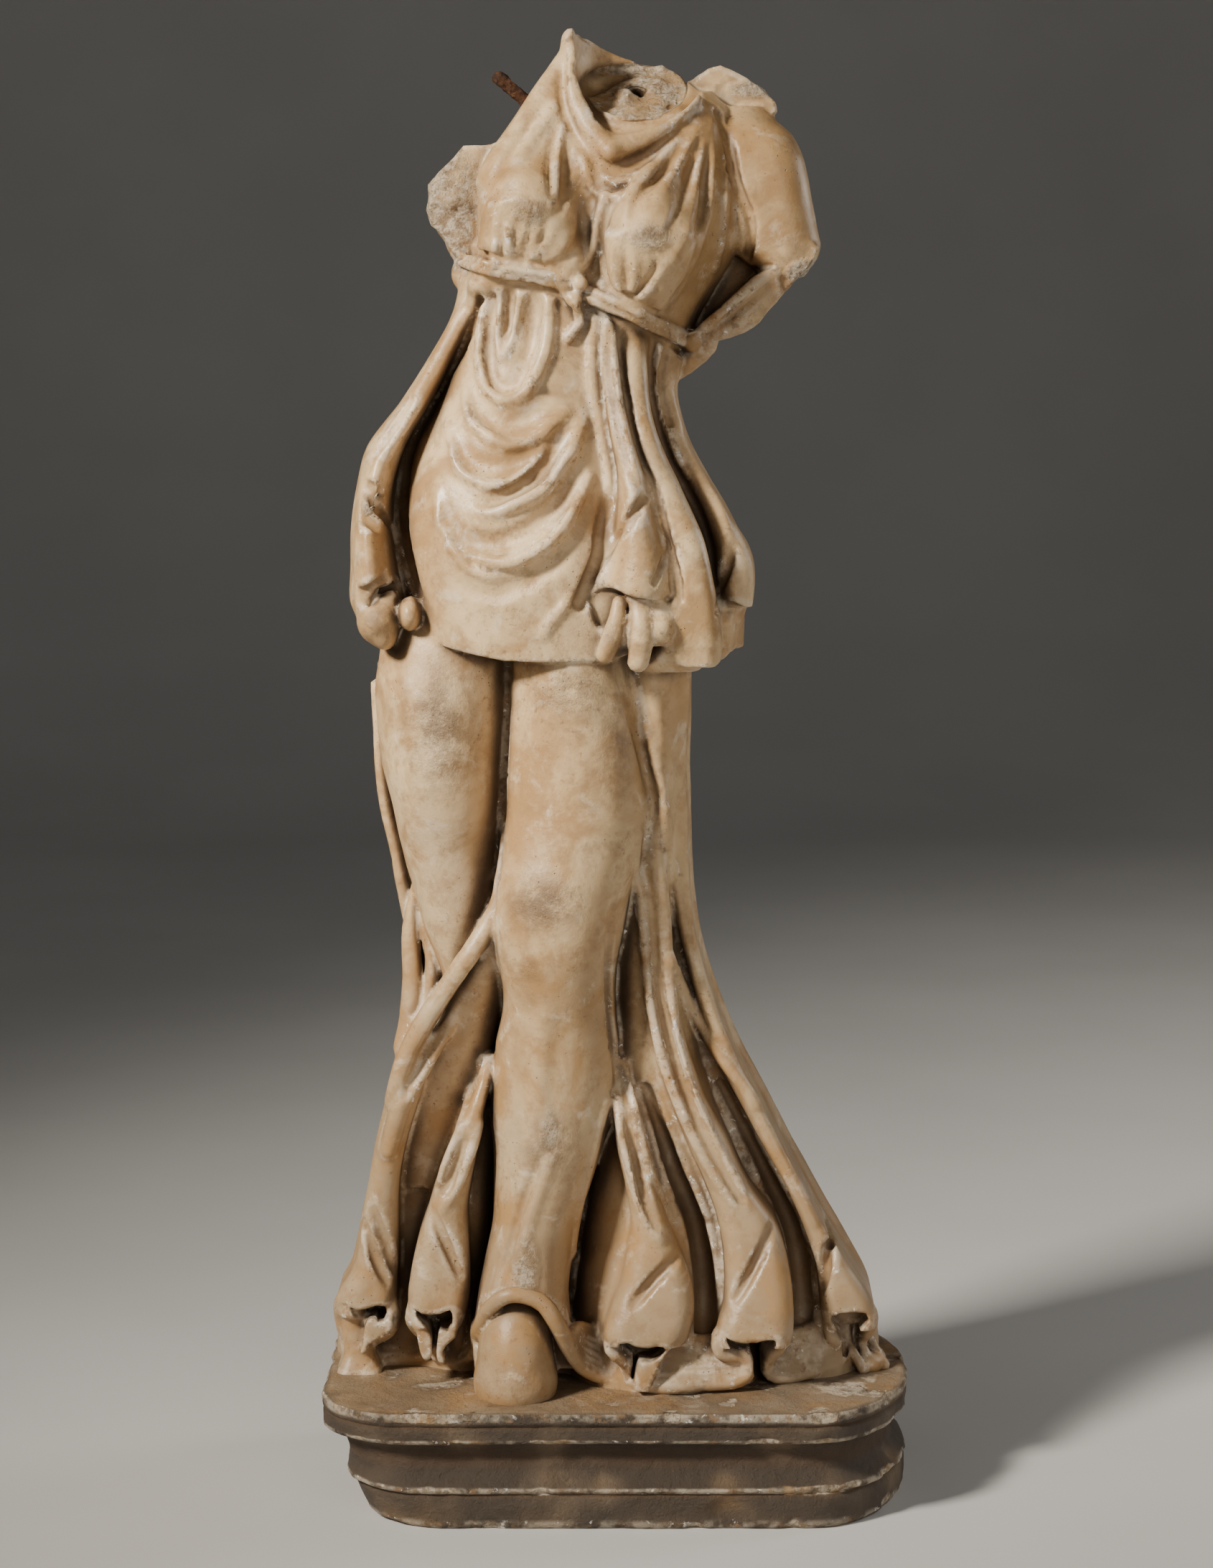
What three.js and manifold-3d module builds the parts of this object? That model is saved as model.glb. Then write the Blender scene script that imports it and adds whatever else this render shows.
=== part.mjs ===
// A marble statue of a dancing maenad on its own moulded plinth. The head and both arms are lost
// and many edges are broken. The iron dowel of the lost right arm still stands in the shoulder.
// Millimetres, +Z up. The figure faces -Y, and the origin is the centre of the plinth's underside.
//
// The figure is carved from a field of distances, as a sculptor works a block: broad masses are
// joined, folds are laid on what is there, and grooves are cut into it. The field is then
// meshed, thinned to a few thousand triangles, and joined to the plinth.

import * as THREE from "three";
import Module from "manifold-3d";

// Driving dimensions
const PLINTH = { width: 409, depth: 250, height: 82, corner: 60, rightEnd: 78 };
const GRID_STEP = 4;
const BLOCK_LOW = [-204, -124, 66];
const BLOCK_HIGH = [204, 124, 1008];
const FIGURE_TRIANGLES = 8400;
const SAMPLE = 7;
const THINNEST = 4.6;
const FAR = 40;
const NECK = { frontY: -30, frontZ: 941, backY: 34, backZ: 983 };
const NECK_HOLE = { x: 13, y: 2, radius: 7, depth: 45, sides: 20 };
const DOWEL = { root: [-57, 25, 954], tip: [-83, 23, 975], radius: 5.2, buried: 26, sides: 10 };
const SOCKET_GAP = 0.4;

// Colours and finish
const MARBLE = { color: 0xcdb694, roughness: 0.62, metalness: 0 };
const RUSTED_IRON = { color: 0x5a2c18, roughness: 0.9, metalness: 0.2 };

const clamp = (value, low, high) => Math.min(high, Math.max(low, value));
const mix = (a, b, t) => a + (b - a) * t;
const add = (p, q, scale = 1) => [p[0] + q[0] * scale, p[1] + q[1] * scale, p[2] + q[2] * scale];
const cross = (p, q) => [p[1] * q[2] - p[2] * q[1], p[2] * q[0] - p[0] * q[2], p[0] * q[1] - p[1] * q[0]];
const unit = (p) => p.map((value) => value / (Math.hypot(...p) || 1));

// Joins two distances with a fillet about as wide as blend.
function softMin(a, b, blend) {
  if (blend <= 0) return Math.min(a, b);
  const h = clamp(0.5 + (0.5 * (b - a)) / blend, 0, 1);
  return mix(b, a, h) - blend * h * (1 - h);
}

// A cubic through four values, at t between the middle two.
function cubic(p0, p1, p2, p3, t) {
  const [t2, t3] = [t * t, t * t * t];
  const slopes = ((t3 - 2 * t2 + t) * (p2 - p0) + (t3 - t2) * (p3 - p1)) / 2;
  return (2 * t3 - 3 * t2 + 1) * p1 + (3 * t2 - 2 * t3) * p2 + slopes;
}

// The value at t (0 to 1) along a list of evenly spaced values, or a single value.
function along(values, t) {
  if (!Array.isArray(values)) return values;
  const place = clamp(t, 0, 1) * (values.length - 1);
  const i = Math.min(Math.floor(place), values.length - 2);
  return mix(values[i], values[i + 1], place - i);
}

// A smooth line through the points, sampled at an even spacing.
function smoothLine(points, spacing = SAMPLE) {
  const line = [];
  for (let i = 0; i + 1 < points.length; i++) {
    const [p, q] = [points[i], points[i + 1]];
    const before = points[Math.max(i - 1, 0)];
    const after = points[Math.min(i + 2, points.length - 1)];
    const count = Math.max(1, Math.round(Math.hypot(...q.map((value, c) => value - p[c])) / spacing));
    for (let k = 0; k < count; k++) line.push(p.map((value, c) => cubic(before[c], value, q[c], after[c], k / count)));
  }
  line.push([...points[points.length - 1]]);
  return line;
}

// The numbers of a table at height z, from its rows of [z, ...numbers], top down.
function rowAt(rows, z) {
  const n = rows.length;
  let i = 0;
  while (i < n - 2 && z < rows[i + 1][0]) i++;
  const t = clamp((z - rows[i][0]) / (rows[i + 1][0] - rows[i][0]), 0, 1);
  const before = rows[Math.max(i - 1, 0)];
  const after = rows[Math.min(i + 2, n - 1)];
  return rows[i].slice(1).map((value, c) => cubic(before[c + 1], value, rows[i + 1][c + 1], after[c + 1], t));
}

// An upright mass with oval sections. Each row, from the top down, is [z, left, right, front, back].
function column(rows) {
  const [top, bottom] = [rows[0][0], rows[rows.length - 1][0]];
  let [lastZ, cx, cy, a, b] = [NaN, 0, 0, 1, 1];
  return {
    low: [Math.min(...rows.map((r) => r[1])), Math.min(...rows.map((r) => r[3])), bottom],
    high: [Math.max(...rows.map((r) => r[2])), Math.max(...rows.map((r) => r[4])), top],
    distance(x, y, z) {
      if (z !== lastZ) {
        const [left, right, front, back] = rowAt(rows, clamp(z, bottom, top));
        [cx, cy, a, b] = [(left + right) / 2, (front + back) / 2, (right - left) / 2, (back - front) / 2];
        lastZ = z;
      }
      const k0 = Math.hypot((x - cx) / a, (y - cy) / b);
      const k1 = Math.hypot((x - cx) / (a * a), (y - cy) / (b * b));
      const side = k1 < 1e-9 ? -Math.min(a, b) : (k0 * (k0 - 1)) / k1;
      return Math.max(side, z - top, bottom - z);
    },
  };
}

// A point on a column's surface. Angle 0 is +X, 90 is the back. out lifts the point off it.
function onColumn(rows, z, angle, out = 0) {
  const [left, right, front, back] = rowAt(rows, z);
  const turn = (angle * Math.PI) / 180;
  const x = (left + right) / 2 + ((right - left) / 2 + out) * Math.cos(turn);
  const y = (front + back) / 2 + ((back - front) / 2 + out) * Math.sin(turn);
  return [x, y, z];
}

function ball(centre, radii) {
  return {
    low: centre.map((c, i) => c - radii[i]),
    high: centre.map((c, i) => c + radii[i]),
    distance(x, y, z) {
      const [u, v, w] = [(x - centre[0]) / radii[0], (y - centre[1]) / radii[1], (z - centre[2]) / radii[2]];
      const k0 = Math.hypot(u, v, w);
      const k1 = Math.hypot(u / radii[0], v / radii[1], w / radii[2]);
      return k1 < 1e-9 ? -Math.min(...radii) : (k0 * (k0 - 1)) / k1;
    },
  };
}

// A round stroke along a line, with one radius, or a list of them spread along the line.
function stroke(line, radius) {
  const radii = line.map((p, i) => Math.max(along(radius, line.length > 1 ? i / (line.length - 1) : 0), THINNEST));
  const reach = Math.max(...radii);
  return {
    low: [0, 1, 2].map((c) => Math.min(...line.map((p) => p[c])) - reach),
    high: [0, 1, 2].map((c) => Math.max(...line.map((p) => p[c])) + reach),
    distance(x, y, z) {
      let nearest = Infinity;
      for (let i = 0; i + 1 < line.length; i++) {
        const [a, b] = [line[i], line[i + 1]];
        const [dx, dy, dz] = [b[0] - a[0], b[1] - a[1], b[2] - a[2]];
        const length2 = dx * dx + dy * dy + dz * dz || 1;
        const t = clamp(((x - a[0]) * dx + (y - a[1]) * dy + (z - a[2]) * dz) / length2, 0, 1);
        const gap = Math.hypot(x - a[0] - dx * t, y - a[1] - dy * t, z - a[2] - dz * t);
        nearest = Math.min(nearest, gap - mix(radii[i], radii[i + 1], t));
      }
      return nearest;
    },
  };
}

// A block between two depths, with its outline given as [x, z] corners.
function slab(outline, near, far) {
  const [xs, zs] = [outline.map((p) => p[0]), outline.map((p) => p[1])];
  return {
    low: [Math.min(...xs), near, Math.min(...zs)],
    high: [Math.max(...xs), far, Math.max(...zs)],
    distance(x, y, z) {
      let [best, inside] = [Infinity, false];
      for (let i = 0, j = outline.length - 1; i < outline.length; j = i++) {
        const [ax, az] = outline[i];
        const [ex, ez] = [outline[j][0] - ax, outline[j][1] - az];
        const t = clamp(((x - ax) * ex + (z - az) * ez) / (ex * ex + ez * ez), 0, 1);
        best = Math.min(best, Math.hypot(x - ax - ex * t, z - az - ez * t));
        if (az > z !== outline[j][1] > z && x < (ex * (z - az)) / ez + ax) inside = !inside;
      }
      return Math.max(inside ? -best : best, near - y, y - far);
    },
  };
}

// The field of distances: below zero in the stone, above zero outside it.
class Stone {
  constructor() {
    this.count = BLOCK_LOW.map((value, c) => Math.ceil((BLOCK_HIGH[c] - value) / GRID_STEP) + 1);
    this.values = new Float32Array(this.count[0] * this.count[1] * this.count[2]).fill(FAR);
  }

  // Changes the value of each grid point near the shape.
  visit(shape, margin, change) {
    const cell = (value, c) => clamp(Math.round((value - BLOCK_LOW[c]) / GRID_STEP), 0, this.count[c] - 1);
    const first = shape.low.map((value, c) => cell(value - margin, c));
    const last = shape.high.map((value, c) => cell(value + margin, c));
    for (let k = first[2]; k <= last[2]; k++)
      for (let j = first[1]; j <= last[1]; j++) {
        const row = (k * this.count[1] + j) * this.count[0];
        const [y, z] = [BLOCK_LOW[1] + j * GRID_STEP, BLOCK_LOW[2] + k * GRID_STEP];
        for (let i = first[0]; i <= last[0]; i++) {
          const distance = shape.distance(BLOCK_LOW[0] + i * GRID_STEP, y, z);
          this.values[row + i] = change(this.values[row + i], distance);
        }
      }
  }

  mass(shape, blend = 0) {
    this.visit(shape, blend + 4 * GRID_STEP, (value, distance) => softMin(value, distance, blend));
  }

  hollow(shape, blend = 0) {
    this.visit(shape, blend + 4 * GRID_STEP, (value, distance) => -softMin(-value, distance, blend));
  }

  rope(points, radius, blend = 0) {
    this.mass(stroke(smoothLine(points), radius), blend);
  }

  trench(points, radius, blend = 0) {
    this.hollow(stroke(smoothLine(points), radius), blend);
  }

  join(other, blend) {
    for (let i = 0; i < this.values.length; i++) this.values[i] = softMin(this.values[i], other.values[i], blend);
  }

  valueAt(x, y, z) {
    const place = [x, y, z].map((value, c) => clamp((value - BLOCK_LOW[c]) / GRID_STEP, 0, this.count[c] - 1.001));
    const [i, j, k] = place.map(Math.floor);
    const [fx, fy, fz] = [place[0] - i, place[1] - j, place[2] - k];
    const row = (dj, dk) => {
      const at = ((k + dk) * this.count[1] + j + dj) * this.count[0] + i;
      return mix(this.values[at], this.values[at + 1], fx);
    };
    return mix(mix(row(0, 0), row(1, 0), fy), mix(row(0, 1), row(1, 1), fy), fz);
  }

  // The depth at which the stone begins at (x, z), seen from the front.
  frontAt(x, z) {
    let before = FAR;
    for (let y = BLOCK_LOW[1]; y < BLOCK_HIGH[1]; y += GRID_STEP) {
      const value = this.valueAt(x, y, z);
      if (value < 0) return y - GRID_STEP * (value / (value - before));
      before = value;
    }
    return null;
  }

  // The direction out of the stone at a point.
  outward(p) {
    const h = 1.5 * GRID_STEP;
    const slope = (c) => {
      const step = [0, 1, 2].map((d) => (d === c ? h : 0));
      return this.valueAt(...add(p, step)) - this.valueAt(...add(p, step, -1));
    };
    return unit([slope(0), slope(1), slope(2)]);
  }

  // Lays a line of [x, z] points on the front of the stone and lifts it off by lift(t).
  onFront(points, lift) {
    const line = smoothLine(points).map(([x, z]) => [x, this.frontAt(x, z), z]);
    const seen = line.filter((p) => p[1] !== null);
    for (const p of line) {
      const nearest = seen.reduce((a, b) => (Math.abs(b[2] - p[2]) < Math.abs(a[2] - p[2]) ? b : a));
      p[1] = p[1] ?? nearest[1];
    }
    // The middle depth of five neighbours leaves out the gaps between folds
    const depths = line.map((_, i) => {
      const near = line.slice(Math.max(i - 2, 0), i + 3).map((p) => p[1]).sort((a, b) => a - b);
      return near[near.length >> 1];
    });
    return line.map((p, i) => {
      const y = (depths[Math.max(i - 1, 0)] + 2 * depths[i] + depths[Math.min(i + 1, line.length - 1)]) / 4;
      const at = [p[0], y, p[2]];
      return add(at, this.outward(at), lift(line.length > 1 ? i / (line.length - 1) : 0));
    });
  }

  // A raised fold that stands height above the front.
  ridge(points, radius, height, blend) {
    this.mass(stroke(this.onFront(points, (t) => along(height, t) - along(radius, t)), radius), blend);
  }

  // A channel cut to a depth below the front.
  groove(points, radius, depth, blend) {
    this.hollow(stroke(this.onFront(points, (t) => along(radius, t) - along(depth, t)), radius), blend);
  }
}

// Tables of the great masses: [z, left, right, front, back], top down
const TRUNK = [
  [977, -44, 60, -20, 40], [953, -58, 74, -38, 50], [929, -76, 82, -50, 56], [900, -94, 87, -56, 58],
  [872, -97, 87, -58, 56], [843, -102, 72, -54, 52], [814, -105, 55, -52, 50], [785, -112, 41, -54, 50],
  [756, -128, 38, -58, 54], [726, -146, 44, -62, 62], [697, -156, 54, -68, 72], [668, -161, 66, -74, 80],
  [638, -161, 74, -76, 84], [608, -160, 76, -76, 84], [569, -160, 76, -76, 82],
];
const BELLY = [
  [840, -96, -8, -58, 10], [800, -104, -6, -62, 10], [760, -116, -2, -72, 10], [720, -130, 4, -82, 10],
  [680, -139, 10, -90, 10], [640, -138, 16, -92, 10], [606, -132, 20, -90, 10], [570, -124, 20, -86, 10],
];
const NECK_COLUMN = [
  [998, -31, 47, -24, 36], [982, -27, 47, -26, 36], [963, -19, 47, -28, 36], [944, -14, 41, -30, 34],
  [929, -12, 33, -32, 32], [905, -11, 26, -34, 30],
];
const O1 = [
  [840, -107, -92, -30, 10], [814, -113, -97, -34, 14], [785, -129, -108, -40, 20], [756, -148, -124, -48, 30],
  [727, -170, -142, -56, 40], [697, -178, -151, -64, 46], [668, -182, -152, -70, 50], [644, -182, -148, -74, 52],
  [626, -183, -145, -74, 52],
];
const O2 = [
  [819, -13, 3, -62, 0], [795, -14, 2, -66, 0], [766, -12, 5, -74, 0], [738, -8, 11, -82, 0],
  [714, -3, 19, -89, 0], [695, -3, 24, -93, 0], [675, -6, 31, -96, 0], [656, -9, 38, -98, 0],
  [639, -15, 42, -100, 0], [628, -19, 42, -100, 0],
];
const O3 = [
  [814, 2, 21, -46, 0], [785, 3, 25, -50, 0], [756, 9, 32, -56, 0], [728, 18, 40, -62, 0],
  [698, 27, 48, -68, 10], [669, 35, 57, -72, 10], [640, 40, 64, -76, 10], [611, 41, 68, -78, 10],
  [582, 42, 69, -78, 10],
];
const O5 = [
  [787, 31, 44, -26, 30], [765, 29, 38, -30, 30], [746, 33, 42, -34, 34], [726, 39, 48, -38, 40],
  [706, 45, 61, -42, 46], [687, 53, 73, -48, 50], [667, 62, 83, -52, 54], [648, 68, 89, -56, 56],
  [620, 69, 91, -58, 56],
];
const FRONT_LEG = [
  [610, -76, 12, -70, 30], [591, -76, 12, -72, 30], [542, -78, 19, -78, 30], [482, -80, 27, -84, 30],
  [453, -81, 21, -86, 25], [424, -82, 12, -90, 20], [400, -82, 3, -92, 15], [375, -79, -2, -88, 10],
  [345, -79, -2, -80, 5], [319, -84, 0, -78, 5], [269, -88, -3, -77, 5], [244, -86, -11, -77, 5],
  [218, -86, -19, -78, 5], [193, -87, -28, -80, 5], [168, -92, -32, -84, 5], [144, -97, -34, -92, 0],
  [114, -100, -30, -98, 0], [94, -100, -24, -98, 0],
];
const BACK_THIGH = [
  [610, -160, -73, -60, 40], [560, -166, -73, -64, 40], [510, -162, -76, -60, 38], [480, -155, -78, -56, 34],
  [450, -149, -80, -50, 30], [420, -141, -83, -44, 26], [395, -134, -88, -38, 22], [369, -124, -96, -32, 20],
  [340, -117, -107, -26, 18],
];
const SKIRT = [
  [606, -160, 50, -30, 80], [566, -163, 47, -28, 80], [535, -164, 48, -20, 80], [505, -163, 47, -16, 80],
  [474, -158, 47, -12, 80], [443, -152, 48, -8, 80], [412, -146, 50, -6, 82], [381, -142, 54, -4, 84],
  [350, -141, 63, -4, 87], [308, -143, 79, -4, 92], [276, -151, 95, -4, 96], [245, -159, 110, -6, 100],
  [213, -167, 126, -8, 104], [182, -175, 143, -10, 108], [150, -181, 160, -14, 112], [119, -188, 172, -20, 114],
  [88, -194, 178, -30, 116], [66, -194, 178, -36, 116],
];
const T1 = [
  [330, -142, -116, -36, 0], [300, -155, -129, -46, 0], [276, -161, -138, -52, 0], [250, -167, -146, -54, 0],
  [225, -172, -151, -55, 0], [202, -176, -153, -57, 0], [180, -179, -153, -60, 0], [160, -183, -153, -64, 0],
  [148, -188, -154, -67, 0], [138, -193, -155, -68, 0],
  [124, -193, -157, -68, 0],
];
const T2 = [
  [308, -93, -87, -44, 0], [294, -96, -88, -60, 0], [273, -104, -92, -66, 0], [253, -113, -95, -66, 0],
  [228, -123, -101, -68, 0], [203, -131, -106, -72, 0], [178, -139, -104, -76, 0], [153, -143, -102, -80, 0],
  [138, -144, -103, -84, 0], [124, -143, -110, -84, 0],
];
const T3 = [
  [306, 0, 5, -40, 0], [278, -3, 11, -60, 0], [253, -1, 17, -66, 0], [223, 5, 25, -70, 0],
  [198, 9, 34, -74, 0], [178, 6, 43, -80, 0], [159, 2, 50, -86, 0], [139, -3, 51, -92, 0],
  [122, -9, 48, -96, 0], [112, -7, 45, -96, 0],
];
const T4 = [
  [476, 17, 29, -40, 0], [452, 15, 31, -48, 0], [412, 16, 32, -50, 0], [372, 18, 35, -54, 0],
  [343, 20, 40, -56, 0], [312, 25, 49, -58, 0], [282, 35, 60, -60, 0], [252, 47, 75, -62, 0],
  [222, 60, 89, -66, 0], [197, 69, 107, -70, 0], [172, 73, 116, -76, 0], [143, 74, 119, -84, 0],
  [120, 68, 119, -88, 0], [110, 68, 117, -88, 0],
];
const T5 = [
  [590, 24, 50, -40, 40], [538, 17, 48, -34, 40], [498, 22, 47, -32, 40], [458, 30, 48, -30, 40],
  [417, 38, 50, -30, 44], [376, 47, 57, -28, 48], [335, 57, 70, -28, 52], [304, 68, 83, -30, 56],
  [273, 85, 99, -32, 60], [242, 102, 115, -34, 64], [211, 119, 131, -38, 68], [185, 130, 145, -42, 70],
  [159, 138, 160, -48, 72], [134, 142, 175, -58, 74], [118, 143, 179, -60, 76],
];
// The cloth in the hollow below the left arm
const ARM_BACKING = [
  [905, 70, 116, -6, 30], [870, 66, 126, -6, 30], [845, 60, 122, -8, 30], [829, 54, 108, -8, 28],
  [806, 46, 86, -10, 24], [797, 44, 62, -10, 22],
];
const ARM_LEAF = [
  [124, 850], [106, 840], [90, 828], [74, 812], [56, 800], [50, 786], [66, 790], [92, 804], [114, 826], [130, 842],
];
// The cloth behind the right bundles of the overfold, and beside the front thigh
const RIGHT_BACKING = [
  [814, 0, 44, -34, 20], [756, 4, 40, -42, 20], [700, 8, 62, -50, 30], [650, 10, 84, -54, 40], [580, 14, 86, -54, 40],
];
const THIGH_CLOTH = [
  [600, 0, 42, -56, 30], [540, 6, 43, -54, 30], [480, 12, 42, -50, 30], [420, 10, 40, -40, 30], [380, 8, 36, -28, 30],
];
// The cloth between the folds, which runs out to the hem at the foot
const PANELS = [
  [[412, -86, -72, -54, 20], [384, -98, -70, -58, 20], [359, -118, -72, -56, 20], [333, -136, -80, -52, 24],
    [304, -149, -90, -46, 28], [278, -156, -100, -40, 30], [240, -162, -104, -34, 30]],
  [[330, -142, -104, -14, 30], [250, -152, -100, -20, 30], [170, -168, -100, -30, 30], [110, -184, -98, -46, 30],
    [66, -186, -98, -52, 30]],
  [[300, -112, -80, -30, 20], [200, -126, -86, -40, 20], [130, -136, -88, -54, 20], [102, -132, -90, -66, 20],
    [66, -130, -90, -66, 20]],
  [[420, 0, 30, -30, 20], [300, -8, 60, -30, 20], [200, -20, 85, -40, 20], [130, -30, 95, -62, 20],
    [98, -32, 99, -82, 20], [66, -32, 99, -88, 20]],
  [[330, 50, 75, -28, 30], [250, 70, 105, -34, 30], [180, 90, 145, -40, 30], [130, 98, 162, -50, 30],
    [104, 98, 166, -60, 30], [66, 98, 166, -64, 30]],
];
const OVERFOLD_HEM = [
  [-154, 606], [-141, 603], [-123, 597], [-106, 592], [-77, 587], [-39, 586], [-6, 586], [6, 590], [12, 600],
  [24, 592], [41, 583], [60, 579], [72, 588], [92, 590],
];
const NECKLINE = [
  [-30, 1012], [-29, 975], [-22, 953], [-14, 940], [-3, 927], [11, 933], [27, 940], [40, 948], [49, 959],
  [51, 975], [53, 1012],
];
const FOOT_ARCH = [
  [-99, 60], [-98, 108], [-94, 128], [-88, 143], [-77, 152], [-64, 153], [-51, 147], [-42, 134], [-35, 117],
  [-28, 100], [-26, 60],
];

// Chest, shoulders and what is left of the arms
function carveBust(stone) {
  stone.mass(column(TRUNK));
  stone.mass(column(NECK_COLUMN), 12);
  stone.mass(ball([-62, -38, 886], [33, 44, 36]), 18);
  stone.mass(ball([10, -42, 874], [33, 46, 36]), 18);
  // The flap of cloth that stands up at the left of the neck
  stone.rope([[-31, -6, 994], [-35, -14, 975], [-42, -24, 952], [-46, -34, 930]], [4, 7, 10, 10], 8);
  // The left upper arm, broken above the elbow, and the lump behind it
  stone.rope([[60, 8, 928], [92, 6, 913], [99, 4, 893], [106, 2, 868]], [28, 33, 34, 30], 12);
  stone.rope([[52, 26, 968], [76, 28, 969], [99, 28, 958]], [7, 11, 9], 5);
  // The leaf of cloth below the arm
  stone.mass(column(ARM_BACKING), 6);
  stone.mass(slab(ARM_LEAF, -26, 20), 6);
  // The broken right shoulder
  stone.mass(ball([-97, 20, 906], [22, 26, 24]), 8);
  stone.mass(ball([-114, 18, 889], [15, 22, 19]), 5);
  stone.mass(ball([-106, 16, 866], [9, 14, 17]), 5);
  stone.mass(ball([-102, 2, 842], [10, 16, 12]), 4);
}

// Folds of the thin cloth over the chest, which run down from the collar and the shoulder button
function carveBustFolds(stone) {
  stone.ridge([[-32, 996], [-34, 977], [-29, 955], [-19, 937], [-4, 921]], 7, 4, 5);
  stone.ridge([[-4, 921], [12, 926], [29, 933], [43, 942], [54, 954]], 7, 4, 5);
  stone.ridge([[-31, 991], [-45, 966], [-63, 943], [-81, 918], [-90, 902]], 5, 2, 5);
  stone.groove([[-35, 969], [-47, 950], [-65, 926], [-78, 906]], 5, 2.5, 4);
  stone.groove([[-34, 950], [-35, 920], [-38, 892]], 5, 3.5, 4);
  stone.groove([[-46, 942], [-49, 914], [-50, 893]], 4, 2.5, 4);
  stone.groove([[39, 936], [22, 926], [4, 917]], 5, 4, 4);
  stone.ridge([[-16, 927], [-9, 910], [2, 899], [14, 903], [30, 918], [47, 936]], 4, 2.5, 4);
  for (const fold of [
    [[52, 946], [35, 927], [16, 906], [3, 888]], [[55, 942], [40, 913], [26, 889], [17, 873]],
    [[59, 940], [49, 904], [42, 876], [32, 855]], [[64, 941], [60, 904], [54, 866], [42, 833], [33, 815]],
    [[69, 941], [72, 904], [71, 871], [59, 838], [48, 814]],
  ])
    stone.ridge(fold, 4, [1.5, 3, 2.5, 1], 3);
  stone.mass(ball([57, -36, 957], [8, 8, 9]), 3);
  // The valley between the breasts, and the pleats gathered by the belt
  stone.groove([[2, 898], [-8, 885], [-14, 866], [-24, 852], [-38, 845]], [3, 6, 7, 6, 3], [1, 4, 5, 4, 2], 5);
  stone.groove([[-6, 882], [-11, 862], [-9, 843], [-4, 830]], 4, 3.5, 3);
  for (const pleat of [
    [[-92, 852], [-94, 873], [-91, 894]], [[-83, 852], [-84, 875], [-82, 892]], [[-74, 852], [-76, 872], [-75, 882]],
    [[-66, 850], [-65, 869], [-60, 878]], [[-57, 850], [-50, 864], [-41, 874]], [[5, 866], [2, 848], [6, 826]],
    [[30, 840], [20, 828], [11, 820]], [[47, 866], [40, 840], [26, 818]],
  ])
    stone.groove(pleat, 3.5, [3, 3, 1], 3);
  // The opening at the neck, with a crevice between the neck and the collar
  stone.hollow(slab(NECKLINE, -140, -34), 1);
  stone.trench([[-22, -30, 962], [-15, -35, 941], [-3, -38, 930], [14, -38, 935], [36, -35, 946], [46, -30, 958]], 4, 2);
  // The edge of the cloth against the arm, and the deep hollow below the arm
  stone.groove([[72, 935], [79, 905], [84, 878], [81, 855]], 5, 5, 3);
  stone.trench([[90, -40, 868], [82, -34, 846], [70, -36, 826], [58, -40, 810]], [7, 12, 10, 6], 4);
}

// The cord tied below the breasts, with its knot and tassel
function carveBelt(stone) {
  stone.ridge([[-106, 851], [-86, 847], [-67, 843], [-48, 839], [-35, 835]], 4.5, 4, 2);
  stone.ridge([[-30, 834], [-18, 831], [-1, 822], [18, 812], [37, 802], [56, 793]], 5, 4.5, 2);
  const back = [];
  for (let angle = 0; angle <= 180; angle += 15) {
    const z = 851 - (onColumn(TRUNK, 820, angle)[0] + 106) * 0.36;
    back.push(onColumn(TRUNK, z, angle, 1));
  }
  stone.rope(back, 5, 2);
  const front = stone.frontAt(-30, 834);
  stone.mass(ball([-37, front, 836], [6, 6, 6]), 2);
  stone.mass(ball([-26, front, 836], [6, 6, 6]), 2);
  stone.mass(ball([62, -14, 791], [6, 8, 7]), 3);
  stone.ridge([[-28, 830], [-25, 821], [-29, 812], [-34, 805], [-32, 798]], 3.5, 3, 2);
  stone.ridge([[-69, 841], [-65, 833], [-70, 815], [-77, 799]], 4, 3, 3);
}

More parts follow.
